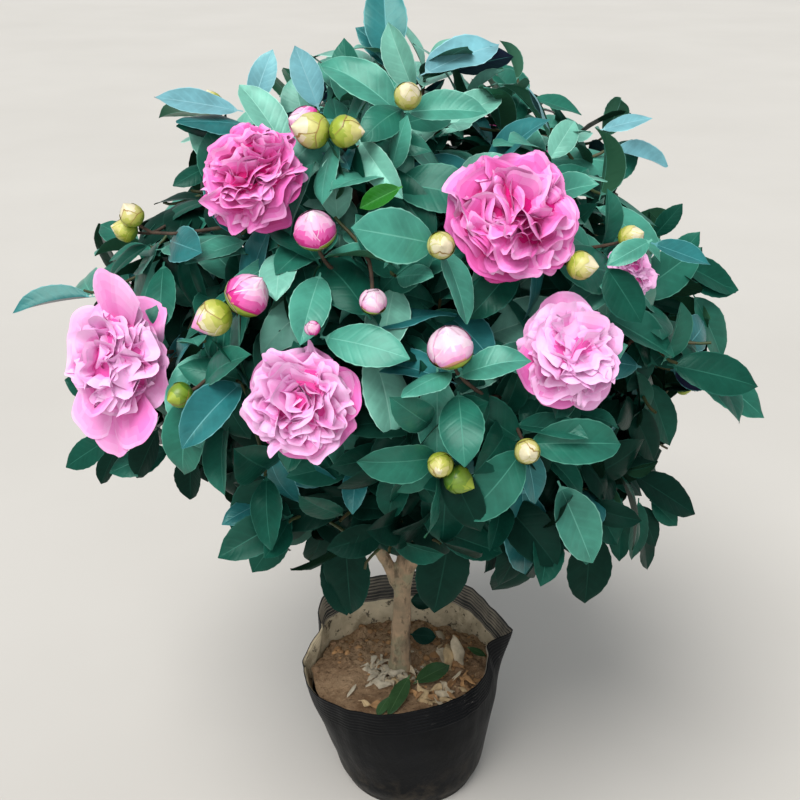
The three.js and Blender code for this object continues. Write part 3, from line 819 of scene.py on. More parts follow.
class Foliage:
    """Leaves gathered into a few joined pieces, kept out of the blooms' and buds' room."""

    def __init__(self, materials):
        self.pieces = {}
        self.materials = materials
        self.rooms = []

    def keep_room(self, middle, axis, radius):
        self.rooms.append((middle, axis, radius))

    def strays(self, points):
        """Whether points leave the plant's space or come into a room that is kept clear."""
        low, high = (np.array(corner) for corner in cad_bounds)
        if (points < low - PAST_BOX).any() or (points > high + PAST_BOX).any():
            return True
        for start, end, radius in CLEARINGS:
            start, along = np.array(start), np.array(end) - np.array(start)
            share = np.clip((points - start) @ along / (along @ along), 0, 1)
            away = np.linalg.norm(points - start - share[:, None] * along, axis=1)
            if (away < radius).any():
                return True
        return False

    def crowds(self, points):
        """Whether points come into the ball of a bloom, or stand before its face."""
        for middle, axis, radius in self.rooms:
            away = points - middle
            ahead = away @ axis
            beside = np.linalg.norm(away - ahead[:, None] * axis, axis=1)
            before = ((ahead > BLOOM_ROOM["behind"] * radius)
                      & (ahead < BLOOM_ROOM["before"] * radius)
                      & (beside < BLOOM_ROOM["beside"] * radius))
            if before.any() or (np.linalg.norm(away, axis=1) < BLOOM_ROOM["round"] * radius).any():
                return True
        return False

    def add_leaf(self, piece, base, ahead, face, length, tone, rng, rows=LEAF_ROWS, droop=None,
                 free=False, wide=None):
        """A free leaf may stand where a bloom's room is; wide is its width over its length."""
        if droop is None:
            droop = rng.uniform(*LEAF_DROOP)
        width = length * (wide or rng.uniform(*LEAF_SLENDER))
        points, places = leaf_shape(length, width, rows, droop=droop, **dealt(LEAF_FORM, rng))
        points = points @ frame_along(ahead, face).T + base
        outline = points[3:, ::3].reshape(-1, 3)
        if not free and (self.crowds(outline) or self.strays(outline)):
            return
        if piece not in self.pieces:
            self.pieces[piece] = Joined(piece, self.materials)
        self.pieces[piece].add(points, leaf_slots(tone, rows), places)


# How light a leaf is painted, as painted light and shade, in steps up the ladder of tones: by its
# height in the crown, how far up it faces, its place on the spray and its depth in the crown;
# then how far that wanders.
PAINTED_LIGHT_STEPS = {"start": 0.20, "level": 3.5, "upward": 0.9, "order": 1.8, "depth": 3}
TONE_WANDER = {"start": 0.55, "level": 0.6}
# The tones off the ladder: how many leaves have one at the top, and the weight of each. sky is a
# painted reflection of the sky.
ODD_SHARE = 0.14
ODD_TONES = {"fresh": 0.01, "blue": 1.0, "sky": 0.6}


def pick_tone(rng, outward, height, depth, order):
    """Painted light and shade by where a leaf stands: light tones high up, facing up and first on
    the spray, where light falls, dark ones low down, last on the spray and within the crown, where
    shade falls, with a few of another kind."""
    level = (height - crown_bottom) / (crown_top - crown_bottom)
    upward = max(0.0, outward[2])
    if depth < 0.5 and rng.random() < ODD_SHARE * level:
        # sky, the painted reflection of the sky, goes to leaves high up and turned from the front.
        aside = float(smooth(np.array(outward[1]), -0.35, 0.2))
        weights = [ODD_TONES["fresh"], ODD_TONES["blue"], ODD_TONES["sky"] * level * aside]
        return rng.choices(list(ODD_TONES), weights)[0]
    step = (PAINTED_LIGHT_STEPS["start"] + PAINTED_LIGHT_STEPS["level"] * level + PAINTED_LIGHT_STEPS["upward"] * upward
            - PAINTED_LIGHT_STEPS["order"] * order - PAINTED_LIGHT_STEPS["depth"] * depth)
    step += rng.gauss(0, TONE_WANDER["start"] + TONE_WANDER["level"] * level)
    return LADDER[int(min(len(LADDER) - 1, max(0, round(step))))]


# A spray: how far its first leaf stands back from the tip and each next one further, how wide
# the first and each next one open, in degrees, how they droop and how far up they face.
SPRAY = {"back": 0.004, "step": 0.0075, "open": 32, "opening": 10.5, "widest": 102, "wander": 9,
         "droop": 0.12, "face_up": np.array([0, 0, 0.35]), "first_leaf": 0.78}


def leaf_spray(foliage, piece, tip, axis, rng, count, depth=0.0, first_open=SPRAY["open"]):
    """Leaves round the end of a twig, in a golden spiral: the first nearly closed over the tip,
    the last wide open, all facing out of the crown and up."""
    start = rng.uniform(0, 2 * math.pi)
    rows = INNER_LEAF_ROWS if depth > 0.5 else LEAF_ROWS
    for index in range(count):
        base = tip - axis * (SPRAY["back"] + SPRAY["step"] * index)
        wander = rng.uniform(-SPRAY["wander"], SPRAY["wander"])
        open_angle = math.radians(
            min(SPRAY["widest"], first_open + SPRAY["opening"] * index + wander))
        side = around_axis(axis, start + index * GOLDEN_TURN + rng.uniform(-0.25, 0.25))
        ahead = axis * math.cos(open_angle) + side * math.sin(open_angle)
        ahead[2] -= SPRAY["droop"]
        face = axis + SPRAY["face_up"] + 0.40 * random_offset(rng)
        length = rng.uniform(*LEAF_LENGTH)
        if index == 0 and first_open == SPRAY["open"]:
            length *= SPRAY["first_leaf"]
        tone = pick_tone(rng, axis, tip[2], depth, index / count)
        foliage.add_leaf(piece, base, unit(ahead), face, length, tone, rng, rows)


# ---------------------------------------------------------------- twigs

def tube(path, radii, sides):
    """Rings round a path of points, without twist."""
    path = np.asarray(path)
    ahead = np.gradient(path, axis=0)
    rings = []
    turns = round_turns(sides)[:, None]
    side = any_across(unit(ahead[0]))
    for point, direction, radius in zip(path, ahead, radii):
        direction = unit(direction)
        side = unit(side - direction * (side @ direction))
        other = np.cross(direction, side)
        rings.append(point + radius * (np.cos(turns) * side + np.sin(turns) * other))
    return np.stack(rings)


def bent_path(start, leaving, end, arriving, steps):
    """A smooth path that leaves start along leaving and reaches end along arriving."""
    reach = np.linalg.norm(end - start) * TWIG_BEND
    first = start + unit(leaving) * reach
    second = end - unit(arriving) * reach
    t = np.linspace(0, 1, steps + 1)[:, None]
    return ((1 - t) ** 3 * start + 3 * (1 - t) ** 2 * t * first
            + 3 * (1 - t) * t ** 2 * second + t ** 3 * end)


def twig_radius(tips):
    """Thicker for the number of tips it carries."""
    return TWIG_TIP_RADIUS * tips ** TWIG_THICKENING


def grow(twigs, start, leaving, tips, rng):
    """The branching rule: one tip gets its twig, and more are parted across their widest
    spread, each part on a branch of its own from a fork on the way."""
    if len(tips) == 1:
        tip = tips[0]
        path = bent_path(start, leaving, tip["at"], tip["axis"], TWIG_STEPS)
        radii = np.linspace(twig_radius(1) * 1.15, twig_radius(1) * 0.85, TWIG_STEPS + 1)
        twigs.add(tube(path, radii, TWIG_SIDES), 0 if tip["woody"] else 1, closed=True)
        return
    places = np.array([tip["at"] for tip in tips])
    middle = places.mean(axis=0)
    fork = start + (middle - start) * rng.uniform(*TWIG_FORK)
    wander = np.array([rng.uniform(-1, 1), rng.uniform(-1, 1), rng.uniform(-0.4, 1)])
    fork = fork + wander * FORK_WANDER
    path = bent_path(start, leaving, fork, middle - start, TWIG_STEPS)
    wide, narrow = twig_radius(len(tips)), twig_radius(len(tips) * 0.8)
    twigs.add(tube(path, np.linspace(wide, narrow, TWIG_STEPS + 1), TWIG_SIDES), 0, closed=True)
    spread = places - middle
    axis = np.linalg.svd(spread, full_matrices=False)[2][0]
    order = np.argsort(spread @ axis)
    half = len(tips) // 2
    for part in (order[:half], order[half:]):
        grow(twigs, fork, middle - start, [tips[i] for i in part], rng)


# ---------------------------------------------------------------- blooms

def petal_rows(rows):
    """Where a petal's rows stand along it: closer together towards its edge."""
    return 1 - 0.95 * (1 - np.linspace(0, 1, rows)) ** 1.4


def petal_shape(length, spread, rows, columns, cup, curl, hollow, ruffle, waves_across, phase,
                notch, fall=0.42):
    """A petal along +X with its inner face to +Z: fanned from a narrow claw to a broad, rounded
    and ruffled edge. cup lifts its foot, curl turns its edge back, hollow cups it across, and
    fall draws its corners in."""
    along = petal_rows(rows)[:, None]
    across = np.linspace(1, -1, columns)[None, :]
    edge = 1 - fall * np.abs(across) ** 2.6 - notch * np.exp(-(across / 0.25) ** 2)
    edge = edge + 0.3 * ruffle * np.sin(waves_across * 2.0 * across + phase * 1.7)
    reach = along * length * edge
    fan = across * spread
    bend = cup * (1 - along) - curl * along ** 3
    steps = np.diff(along, axis=0, prepend=0.0)
    line = np.cumsum(steps * np.cos(bend), axis=0)
    lift = np.cumsum(steps * np.sin(bend), axis=0)
    side = reach * np.sin(fan)
    folds = (np.sin(waves_across * math.pi * across + phase)
             + 0.25 * np.sin(4.6 * waves_across * across - phase))
    points = np.empty((rows, columns, 3))
    points[..., 0] = line * length * edge * np.cos(fan)
    points[..., 1] = side
    points[..., 2] = (lift * length * edge + hollow * side ** 2 / length
                      + ruffle * length * along ** 1.8 * folds)
    return points


def shade_numbers(share):
    """The slots of petal shades that stand at a share of the way from deep to pale."""
    return np.clip(np.rint(share * (PETAL_SHADES - 1)), 0, PETAL_SHADES - 1).astype(int)


def petal_slots(rows, columns, tone, rise, ember, rng):
    """Slot numbers over a petal: deep at its foot, as painted shade in the folds, pale towards its
    edge, and ember-coloured inside a few."""
    along = petal_rows(rows)[1:, None]
    across = np.linspace(-1, 1, columns - 1)[None, :]
    wander = 0.05 * np.sin(4 * across + rng.uniform(0, 6)) + 0.03 * np.sin(6 * along + 3 * across)
    # Deeper towards the foot: painted shade of the folds.
    share = tone + rise * (along ** 3.2 - 0.5) + wander
    share[-1] += EDGE_PALER
    slots = shade_numbers(share)
    if ember:
        inside = (along[:, 0] > 0.5) & (along[:, 0] < 0.8)
        slots[inside, columns // 3:-columns // 3] = PETAL_SHADES
    return slots


def crumple(points, waves, share):
    """Wanders points in one smooth field, so that rings of petals break into curls."""
    moved = points.copy()
    for way, phase, shift in waves:
        moved += share * shift * np.sin(points @ way + phase)[..., None]
    return moved


def random_way(rng):
    return unit(np.array([rng.gauss(0, 1) for _ in range(3)]))


BLOOM_SUNK = 0.45                        # the petals' foot below the bloom's middle
BLOOM_FLAT = 0.66                        # height of the dome above the middle, over its radius
HEART_DEPTH = 0.72                       # the closed dome under the petals, over their reach
# How much deeper the dome is painted than the bloom: painted shade between the petals.
HEART_SHADE = 0.5
EDGE_PALER = 0.06
# The guard petals' rows, outermost first: how many, how far they lean from the bloom's axis, how
# long they are over its radius, how far they fan, how they ruffle and how they pale outwards.
GUARD_ROWS = rows_of("count lean size spread ruffle rise", [
    (6, 88, 1.06, 0.80, 0.055, 0.22),
    (6, 74, 1.02, 0.72, 0.075, 0.36),
    (7, 60, 1.00, 0.58, 0.095, 0.46),
    (5, 46, 1.00, 0.50, 0.100, 0.56),
])
ROW_TURN = 0.52                          # how far a row is turned on from the one below
GUARD_LEAN_WANDER = 9
GUARD_TONE = (-0.16, 0.10)
# Painted shade: the guard petals that face down are painted deeper.
LOWER_PETAL_SHADE = {"outermost": 0.30, "row": 0.08}     # how much deeper the lower petals are
GUARD_CRUMPLE = {"outermost": 0.6, "row": 0.2}
# What a guard petal's shape is dealt from; length, spread and ruffle are shares of its row's.
GUARD_FORM = {"twist": (-0.3, 0.3), "length": (0.88, 1.08), "spread": (0.8, 1.2),
              "curl": (0.0, 0.9), "hollow": (-0.1, 0.5), "ruffle": (0.6, 1.3),
              "waves_across": (1.1, 2.2), "phase": (0, 6), "notch": (0.0, 0.12)}
LOOSE_FORM = {"twist": 0.0, "cup": 0.3, "curl": 0.2, "hollow": 0.25, "ruffle": 0.03,
              "waves_across": 1.1, "notch": 0.03, "fall": 0.2}
LOOSE_RISE = 0.30
LOOSE_CRUMPLE = 0.18
# The small petals over the dome, a low layer painted deep as shade under the crowd and then the
# crowd: how many to a full bloom, how long they are over the dome's reach, how broad they fan,
# how their edge turns back, how much lighter they are than the bloom and how they pale outwards.
SMALL_LAYERS = rows_of("share length spread curl tone rise", [
    (0.48, (0.78, 0.93), (0.36, 0.60), (0.2, 1.4), (-0.40, -0.12), 0.56),
    (1.00, (0.92, 1.05), (0.27, 0.50), (0.3, 1.9), (-0.14, 0.10), 0.70),
])
SMALL_FORM = {"hollow": (-0.2, 1.4), "ruffle": (0.030, 0.075), "waves_across": (1.0, 2.2),
              "phase": (0, 6), "notch": (0.0, 0.10)}
SMALL_REACH = 58                         # how far the small petals lean, in degrees
SMALL_LEAN_WANDER = 5
SMALL_ODDS = {"ember": 0.04, "settled": 0.75}      # settled ones face out, give or take
# Waves that crumple a bloom, broad ones and fine ones: how many, the span of one, and how far
# it shifts.
CRUMPLES = {"count": 6, "span": (24 * MM, 52 * MM), "shift": (1.4 * MM, 2.8 * MM)}
FINE_CRUMPLES = {"count": 6, "span": (13 * MM, 24 * MM), "shift": (0.4 * MM, 0.9 * MM)}
# How finely petals are made: guard petals, small ones and their number, and the dome.
FINE = {"guard": (10, 17), "small": (9, 17), "petaloids": 54, "heart": (14, 28)}
COARSE = {"guard": (7, 12), "small": (7, 11), "petaloids": 42, "heart": (10, 20)}


def dome_reach(lean, half):
    """How far the domed face of a bloom is from its foot, along a direction leaning so."""
    a = math.sin(lean) ** 2 + (math.cos(lean) / BLOOM_FLAT) ** 2
    b = -2 * math.cos(lean) * BLOOM_SUNK / BLOOM_FLAT ** 2
    c = (BLOOM_SUNK / BLOOM_FLAT) ** 2 - 1
    return half * (-b + math.sqrt(b * b - 4 * a * c)) / (2 * a)


def make_waves(kind, rng):
    """Random waves through space: each a way to run, a phase and a shift."""
    waves = []
    for _ in range(kind["count"]):
        way = random_way(rng) * 2 * math.pi / rng.uniform(*kind["span"])
        waves.append((way, rng.uniform(0, 6), random_way(rng) * rng.uniform(*kind["shift"])))
    return waves


def clock_side(axis, clock):
    """The direction across axis that stands that many degrees clockwise from its top."""
    up = unit(np.array([0.0, 0.0, 1.0]) - axis * axis[2])
    turn = math.radians(clock)
    return up * math.cos(turn) + np.cross(up, axis) * math.sin(turn)


class Bloom:
    """A full double bloom: rows of broad guard petals, with small curled ones crowded over the
    dome. Its lower petals are painted deeper, as shade."""

    def __init__(self, blooms, tip, size, rng):
        self.blooms = blooms
        self.axis = tip["axis"]
        self.half = tip["half"]
        self.tone = tip["tone"]
        self.size = size
        self.rng = rng
        self.foot = tip["middle"] - self.axis * self.half * BLOOM_SUNK
        self.start = rng.uniform(0, 6)
        self.waves = make_waves(CRUMPLES, rng) + make_waves(FINE_CRUMPLES, rng)

    def add_heart(self):
        """The closed dome under the petals, painted deep as the shade between them."""
        rows, columns = self.size["heart"]
        leans = np.radians(np.linspace(0.5, 96, rows))
        reach = np.array([dome_reach(min(lean, math.radians(88)), self.half) for lean in leans])
        sides = np.stack([around_axis(self.axis, turn) for turn in round_turns(columns)])
        ways = (self.axis * np.cos(leans)[:, None, None]
                + sides[None] * np.sin(leans)[:, None, None])
        points = self.foot + ways * (HEART_DEPTH * reach)[:, None, None]
        slot = shade_numbers(np.array(self.tone - HEART_SHADE))
        self.blooms.add(crumple(points, self.waves, 1.0), slot, closed=True)

    def slots(self, kind, tone, rise, ember=False):
        return petal_slots(*self.size[kind], tone, rise, ember, self.rng)

    def add_petal(self, side, lean, slots, crumpled, twist, **shape):
        """One petal: it leaves the foot at an angle lean to the axis, towards side."""
        ahead = self.axis * math.cos(lean) + side * math.sin(lean)
        face = self.axis * math.sin(lean) - side * math.cos(lean)
        face = face * math.cos(twist) + np.cross(ahead, face) * math.sin(twist)
        points = petal_shape(rows=slots.shape[0] + 1, columns=slots.shape[1] + 1, **shape)
        points = points @ frame_along(ahead, face).T + self.foot
        self.blooms.add(crumple(points, self.waves, crumpled), slots)

    def add_loose(self, loose):
        """The odd guard petals, placed one by one."""
        for odd in loose:
            slots = self.slots("guard", odd["tone"], LOOSE_RISE)
            self.add_petal(
                clock_side(self.axis, odd["clock"]), math.radians(odd["lean"]), slots,
                LOOSE_CRUMPLE, length=self.half * odd["size"], spread=odd["spread"],
                phase=self.rng.uniform(0, 6), **LOOSE_FORM)

    def add_guards(self):
        rng = self.rng
        for row, guard in enumerate(GUARD_ROWS):
            for index in range(guard["count"]):
                part = 2 * math.pi / guard["count"]
                turn = self.start + row * ROW_TURN + (index + rng.uniform(-0.25, 0.25)) * part
                side = around_axis(self.axis, turn)
                wander = rng.uniform(-GUARD_LEAN_WANDER, GUARD_LEAN_WANDER)
                lean = math.radians(guard["lean"] + wander)
                # Petals on the bloom's lower side are painted deeper, as shade.
                under = max(0.0, LOWER_PETAL_SHADE["outermost"] - LOWER_PETAL_SHADE["row"] * row)
                tone = self.tone + rng.uniform(*GUARD_TONE) - under * max(0.0, -side[2])
                slots = self.slots("guard", tone, guard["rise"])
                form = dealt(GUARD_FORM, rng)
                reach = self.half if row == 0 else dome_reach(lean, self.half)
                form["length"] *= reach * guard["size"]
                form["spread"] *= guard["spread"]
                form["ruffle"] *= guard["ruffle"]
                crumpled = min(1.0, GUARD_CRUMPLE["outermost"] + GUARD_CRUMPLE["row"] * row)
                self.add_petal(side, lean, slots, crumpled, cup=0.4, **form)

    def add_small(self):
        """The small curled petals, in a golden spiral over the dome."""
        rng = self.rng
        for layer in SMALL_LAYERS:
            count = round(self.size["petaloids"] * layer["share"])
            spans = {name: layer[name] for name in ("length", "spread", "curl")}
            for index in range(count):
                share = (index + 0.5) / count
                wander = rng.uniform(-SMALL_LEAN_WANDER, SMALL_LEAN_WANDER)
                lean = math.radians(abs(SMALL_REACH * share ** 0.62 + wander))
                side = around_axis(self.axis, self.start + index * GOLDEN_TURN)
                tone = self.tone + rng.uniform(*layer["tone"])
                ember = rng.random() < SMALL_ODDS["ember"]
                slots = self.slots("small", tone, layer["rise"], ember)
                settled = rng.random() < SMALL_ODDS["settled"]
                twist = rng.gauss(0, 0.5) if settled else rng.uniform(-math.pi, math.pi)
                form = dealt({**spans, **SMALL_FORM}, rng)
                form["length"] *= dome_reach(lean, self.half)
                form["curl"] *= 0.5 + 0.5 * share
                self.add_petal(side, lean, slots, 1.0, twist, cup=0.0, fall=0.26, **form)


def add_bloom(blooms, tip, size, rng):
    bloom = Bloom(blooms, tip, size, rng)
    bloom.add_heart()
    bloom.add_loose(tip["loose"])
    bloom.add_guards()
    bloom.add_small()


# ---------------------------------------------------------------- buds

def bud_radius(t, half):
    """The round of a bud from its foot, t 0, to its tip, t 1."""
    body = np.sin(np.pi * np.clip(t, 0.0, 1.0) ** 0.80) ** 0.68
    return half * body * (1 - 0.30 * smooth(t, 0.70, 1.0))


def bud_points(foot, axis, length, height, radius, angle):
    first = any_across(axis)
    second = np.cross(axis, first)
    return (foot + axis * (height * length)[..., None]
            + first * (radius * np.cos(angle))[..., None]
            + second * (radius * np.sin(angle))[..., None])


# Tones up a bud, from its foot to its tip.
BUD_COLOURS = {
    kind: tones.split() for kind, tones in (
        ("pink", "yellow yellow peach magenta magenta rose rose pink light light blush blush"),
        ("blush", "yellow straw peach pink light light blush blush blush blush"),
        ("rosy", "lime lime yellow yellow straw straw cream light pink pink"),
        ("green", "moss moss lime lime lime yellow yellow straw straw cream"),
        ("cream", "moss lime lime yellow yellow straw straw cream cream cream"),
        ("lime", "green green green moss moss moss lime lime"))
}
SCALE_COLOURS = "moss moss lime lime yellow yellow straw straw".split()
OPENING = ("pink", "blush")
# A bud opening or closed: its half width over its length, how far up it its scales reach, and
# how far the first one stands off.
BUD_FORMS = {True: {"half": 0.46, "top": 0.42, "lift": 1.7 * MM},
             False: {"half": 0.41, "top": 0.97, "lift": 0.15 * MM}}
CORE_SIZE = (15, 16)                     # rows and columns
SHELL_SIZE = (10, 12)
SHELLS = 6                               # petals of an opening bud, and scales of any
SHELL_FOOT = 0.02                        # where they start, as a share of its length


def bud_slots(colours, height, rng):
    """Slot numbers by the height on the bud, so that every scale shades alike."""
    names = list(BUD_TONES)
    numbers = np.array([names.index(tone) for tone in colours])
    turn = np.linspace(0, 2 * math.pi, height.shape[1])
    level = height * len(colours) + 0.5 * np.sin(turn + rng.uniform(0, 6))
    return numbers[np.clip(level.astype(int), 0, len(colours) - 1)]


def add_core(buds, foot, axis, length, half, colours, rng):
    """The closed round under the scales, so that no gap shows between them."""
    rows, columns = CORE_SIZE
    height = np.broadcast_to(np.linspace(0, 1, rows)[:, None], (rows, columns))
    radius = np.maximum(0.0002, bud_radius(height, half))
    angle = np.broadcast_to(round_turns(columns), (rows, columns))
    slots = bud_slots(colours, height[:-1] + 0.5 / rows, rng)
    buds.add(bud_points(foot, axis, length, height, radius, angle), slots, closed=True)


def add_shell(buds, foot, axis, length, half, turn, wide, top, lift, colours, edge_tone, rng):
    """One scale or closed petal: a patch of the bud's round with a rounded, uneven top edge
    of its own tone."""
    rows, columns = SHELL_SIZE
    share = np.append(np.linspace(0.0, 0.95, rows - 1), 1.0)[:, None]
    across = np.linspace(-1, 1, columns)[None, :]
    uneven = 0.03 * np.sin(7 * across + rng.uniform(0, 6))
    crest = top * (1 - 0.42 * np.abs(across) ** 2.4 + uneven)
    height = SHELL_FOOT + share * (crest - SHELL_FOOT)
    radius = bud_radius(height, half) + lift
    angle = turn + across * wide * (0.72 + 0.28 * share)
    slots = bud_slots(colours, height[:-1, :-1], rng)
    slots[-1] = list(BUD_TONES).index(edge_tone)
    buds.add(bud_points(foot, axis, length, height, radius, angle), slots)


def add_bud(buds, foot, axis, length, kind, rng):
    """A bud of overlapping scales: closed, or opening with folded petals above its scales."""
    opening = kind in OPENING
    form = BUD_FORMS[opening]
    half = length * form["half"]
    start = rng.uniform(0, 6)
    colours = BUD_COLOURS[kind]
    add_core(buds, foot, axis, length, half, colours, rng)
    for index in range(SHELLS if opening else 0):
        add_shell(buds, foot, axis, length, half, start + index * GOLDEN_TURN,
                  rng.uniform(0.8, 1.2), 1.02 - 0.03 * index, (0.3 + 0.30 * index) * MM,
                  colours, "light" if index % 2 else "blush", rng)
    for index in range(SHELLS):
        add_shell(buds, foot, axis, length, half, start + 1 + index * GOLDEN_TURN, 1.05,
                  form["top"] * (1.0 - 0.11 * index), form["lift"] + 0.20 * MM * index,
                  SCALE_COLOURS if opening else colours,
                  "tan" if index % 3 == 1 else colours[-4], rng)


# ---------------------------------------------------------------- where sprays stand

LIMB_MASSES = {
    "foliage_top": "limb_leader",
    "foliage_upper_1": "limb_left",
    "foliage_upper_3": "limb_front",
    "foliage_upper_5": "limb_back",
}
mass_names = sorted(name for name in nodes if name.startswith("foliage_"))


def mesh_arrays(node):
    """Face middles, normals and areas of a CAD node."""
    polygons = nodes[node].data.polygons
    middles = np.array([face.center for face in polygons])
    normals = np.array([face.normal for face in polygons])
    areas = np.array([face.area for face in polygons])
    return middles, normals, areas


def mass_middle(name):
    low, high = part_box(name)
    return np.array((low + high) / 2)


def bough_end(name):
    """Where the bough or limb that carries a mass goes into it, and its direction there."""
    bough = LIMB_MASSES.get(name, name.replace("foliage", "bough"))
    points = np.array([vertex.co for vertex in nodes[bough].data.vertices])
    middle = mass_middle(name)
    order = np.argsort(np.linalg.norm(points - middle, axis=1))
    near = points[order[: max(4, len(order) // 12)]].mean(axis=0)
    return near, unit(middle - near)


def skin_points(rng):
    """Evenly spread places on the outward skin of the masses, with their outward normals."""
    chosen = []
    for name in mass_names:
        middles, normals, areas = mesh_arrays(name)
        for _ in range(SKIN_TRIES):
            index = rng.choices(range(len(areas)), areas)[0]
            place = middles[index] + random_offset(rng) * SKIN_WANDER
            outward = crown_outward(place)
            facing = float(normals[index] @ outward)
            under = outward[2] < -0.45 and np.linalg.norm(place[:2]) < 0.2
            if facing < 0.25 or under:
                continue
            if all(np.linalg.norm(place - other[1]) > SPRAY_SPACING for other in chosen):
                chosen.append((name, place, normals[index], outward))
    return chosen


def skirt_height(place):
    """How low sprays start: the skirt is lowest round the trunk, and higher on the left."""
    beyond = max(0.0, math.hypot(place[0], place[1]) - SKIRT["from"])
    left = min(1.0, max(0.0, -place[0] / SKIRT["left"]))
    return SKIRT["height"] + SKIRT["rise_outwards"] * beyond + SKIRT["rise_left"] * left


def spray_tips(rng):
    """A tip for every spray on the skin, and a few within each mass."""
    tips = []
    for name, place, normal, outward in skin_points(rng):
        axis = unit(0.75 * outward + 0.35 * normal + np.array([0, 0, 0.22]))
        tip = place - outward * SPRAY_DEPTH * rng.uniform(0.7, 1.3)
        tip[2] = max(tip[2], skirt_height(tip) + rng.uniform(0.0, 0.03))
        tips.append({"mass": name, "at": tip, "axis": axis, "woody": False, "kind": "spray",
                     "depth": 0.0})
    for name in mass_names:
        middle = mass_middle(name)
        low, high = (np.array(corner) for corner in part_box(name))
        for _ in range(INNER_SPRAYS):
            spot = middle + (high - low) * random_offset(rng, 0.3)
            outward = crown_outward(spot)
            aside = around_axis(outward, rng.uniform(0, 6))
            tips.append({"mass": name, "at": spot - outward * INNER_DEPTH,
                         "axis": unit(outward + aside * 0.5),
                         "woody": False, "kind": "spray", "depth": 1.0})
    return tips


def nearest_mass(place):
    return min(mass_names, key=lambda name: np.linalg.norm(mass_middle(name) - place))


# A bloom is tipped from the crown's outward way towards one that rises so and turns this share
# of its own angle from the front.
BLOOM_FACE = {"rise": 26, "turn": 0.5, "share": 0.9}
FRONT = -0.1                             # a bloom or bud before this is made finely
FULL_BLOOM = 40 * MM                     # half width above which a bloom is full
# Leaves behind a bloom and round a bud: how far back, how many, and how wide the first opens.
BLOOM_SPRAY = {"back": 0.55, "count": 9, "open": 78}
BUD_SPRAY = {"back": 4 * MM, "count": 6, "open": 58}
SCATTERED = {"length": (18, 28), "kinds": ["green", "cream", "lime"], "weights": [3, 1, 2]}


def flower_tip(place, axis, back, number, **values):
    """A woody tip that ends that far back from a bloom's or bud's middle."""
    return {"mass": nearest_mass(place), "at": place - axis * back * 0.5, "axis": axis,
            "woody": True, "depth": 0.0, "middle": place, "seed": FLOWER_SEED + number, **values}


def flower_tips():
    """Tips for the blooms and the placed buds."""
    tips = []
    for bloom in BLOOMS:
        middle = crown_place(bloom["around"], bloom["out"], bloom["high"])
        turn = bloom["around"] * (BLOOM_FACE["turn"] if abs(bloom["around"]) < 90 else 1)
        upward = np.array([0, 0, math.radians(bloom["lean"])])
        axis = unit(crown_outward(middle) + BLOOM_FACE["share"] * aimed(turn, BLOOM_FACE["rise"])
                    + upward)
        tip = flower_tip(middle, axis, bloom["half"], len(tips), kind="bloom",
                         half=bloom["half"], tone=bloom["tone"],
                         loose=rows_of(LOOSE_PETAL, bloom.get("loose", [])))
        tip["seed"] = bloom.get("seed", tip["seed"])
        tips.append(tip)
    for bud in BUDS:
        place = crown_place(bud["around"], bud["out"], bud["high"])
        tips.append(flower_tip(place, aimed(*bud["aim"]), bud["length"], len(tips), kind="bud",
                               length=bud["length"], bud=bud["kind"]))
    return tips


def keep_flower_room(foliage, tip):
    """Keeps leaves away from a bloom or a bud, and from before it."""
    if tip["kind"] == "bud":
        seen = unit(crown_outward(tip["middle"]) + np.array([0, 0, 0.45]))
        foliage.keep_room(tip["middle"], seen, tip["length"] * 0.46)
        return
    full = tip["half"] > FULL_BLOOM
    wide = tip["half"] * (1 if full else 0.5)
    foliage.keep_room(tip["middle"], tip["axis"], wide)
    if tip["middle"][1] < FRONT and full:
        foliage.keep_room(tip["middle"], aimed(0, 30), wide * 0.92)


def free_sprays(foliage, flowers, rng):
    """The sprays that stand clear of the blooms and of the rooms kept clear."""
    sprays = []
    for tip in spray_tips(rng):
        near = [flower for flower in flowers if flower["kind"] == "bloom"
                and np.linalg.norm(tip["at"] - flower["middle"]) < flower["half"] * 0.9]
        if not near and not foliage.strays(tip["at"][None]):
            sprays.append(tip)
    return sprays


def set_spray(foliage, buds, tip, rng):
    """Leaves round a twig's tip, and a small bud on a few at the back."""
    count = rng.randint(*SPRAY_LEAVES)
    leaf_spray(foliage, leaf_piece(tip["mass"]), tip["at"], tip["axis"], rng, count, tip["depth"])
    if tip["depth"] == 0 and tip["at"][1] > 0 and rng.random() < SCATTERED_BUDS:
        length = rng.uniform(*SCATTERED["length"]) * MM
        kind = rng.choices(SCATTERED["kinds"], SCATTERED["weights"])[0]
        add_bud(buds, tip["at"], tip["axis"], length, kind, rng)


def set_flower(foliage, blooms, buds, tip, rng):
    """A bloom or a bud with the leaves behind it."""
    in_front = bool(tip["middle"][1] < FRONT)
    if tip["kind"] == "bloom":
        add_bloom(blooms[in_front], tip, FINE if in_front else COARSE, rng)
        spray, base = BLOOM_SPRAY, tip["middle"] - tip["axis"] * tip["half"] * BLOOM_SPRAY["back"]
    else:
        add_bud(buds, tip["at"], tip["axis"], tip["length"], tip["bud"], rng)
        spray, base = BUD_SPRAY, tip["at"] - tip["axis"] * BUD_SPRAY["back"]
    leaf_spray(foliage, leaf_piece(tip["mass"]), base, tip["axis"], rng, spray["count"],
               first_open=spray["open"])


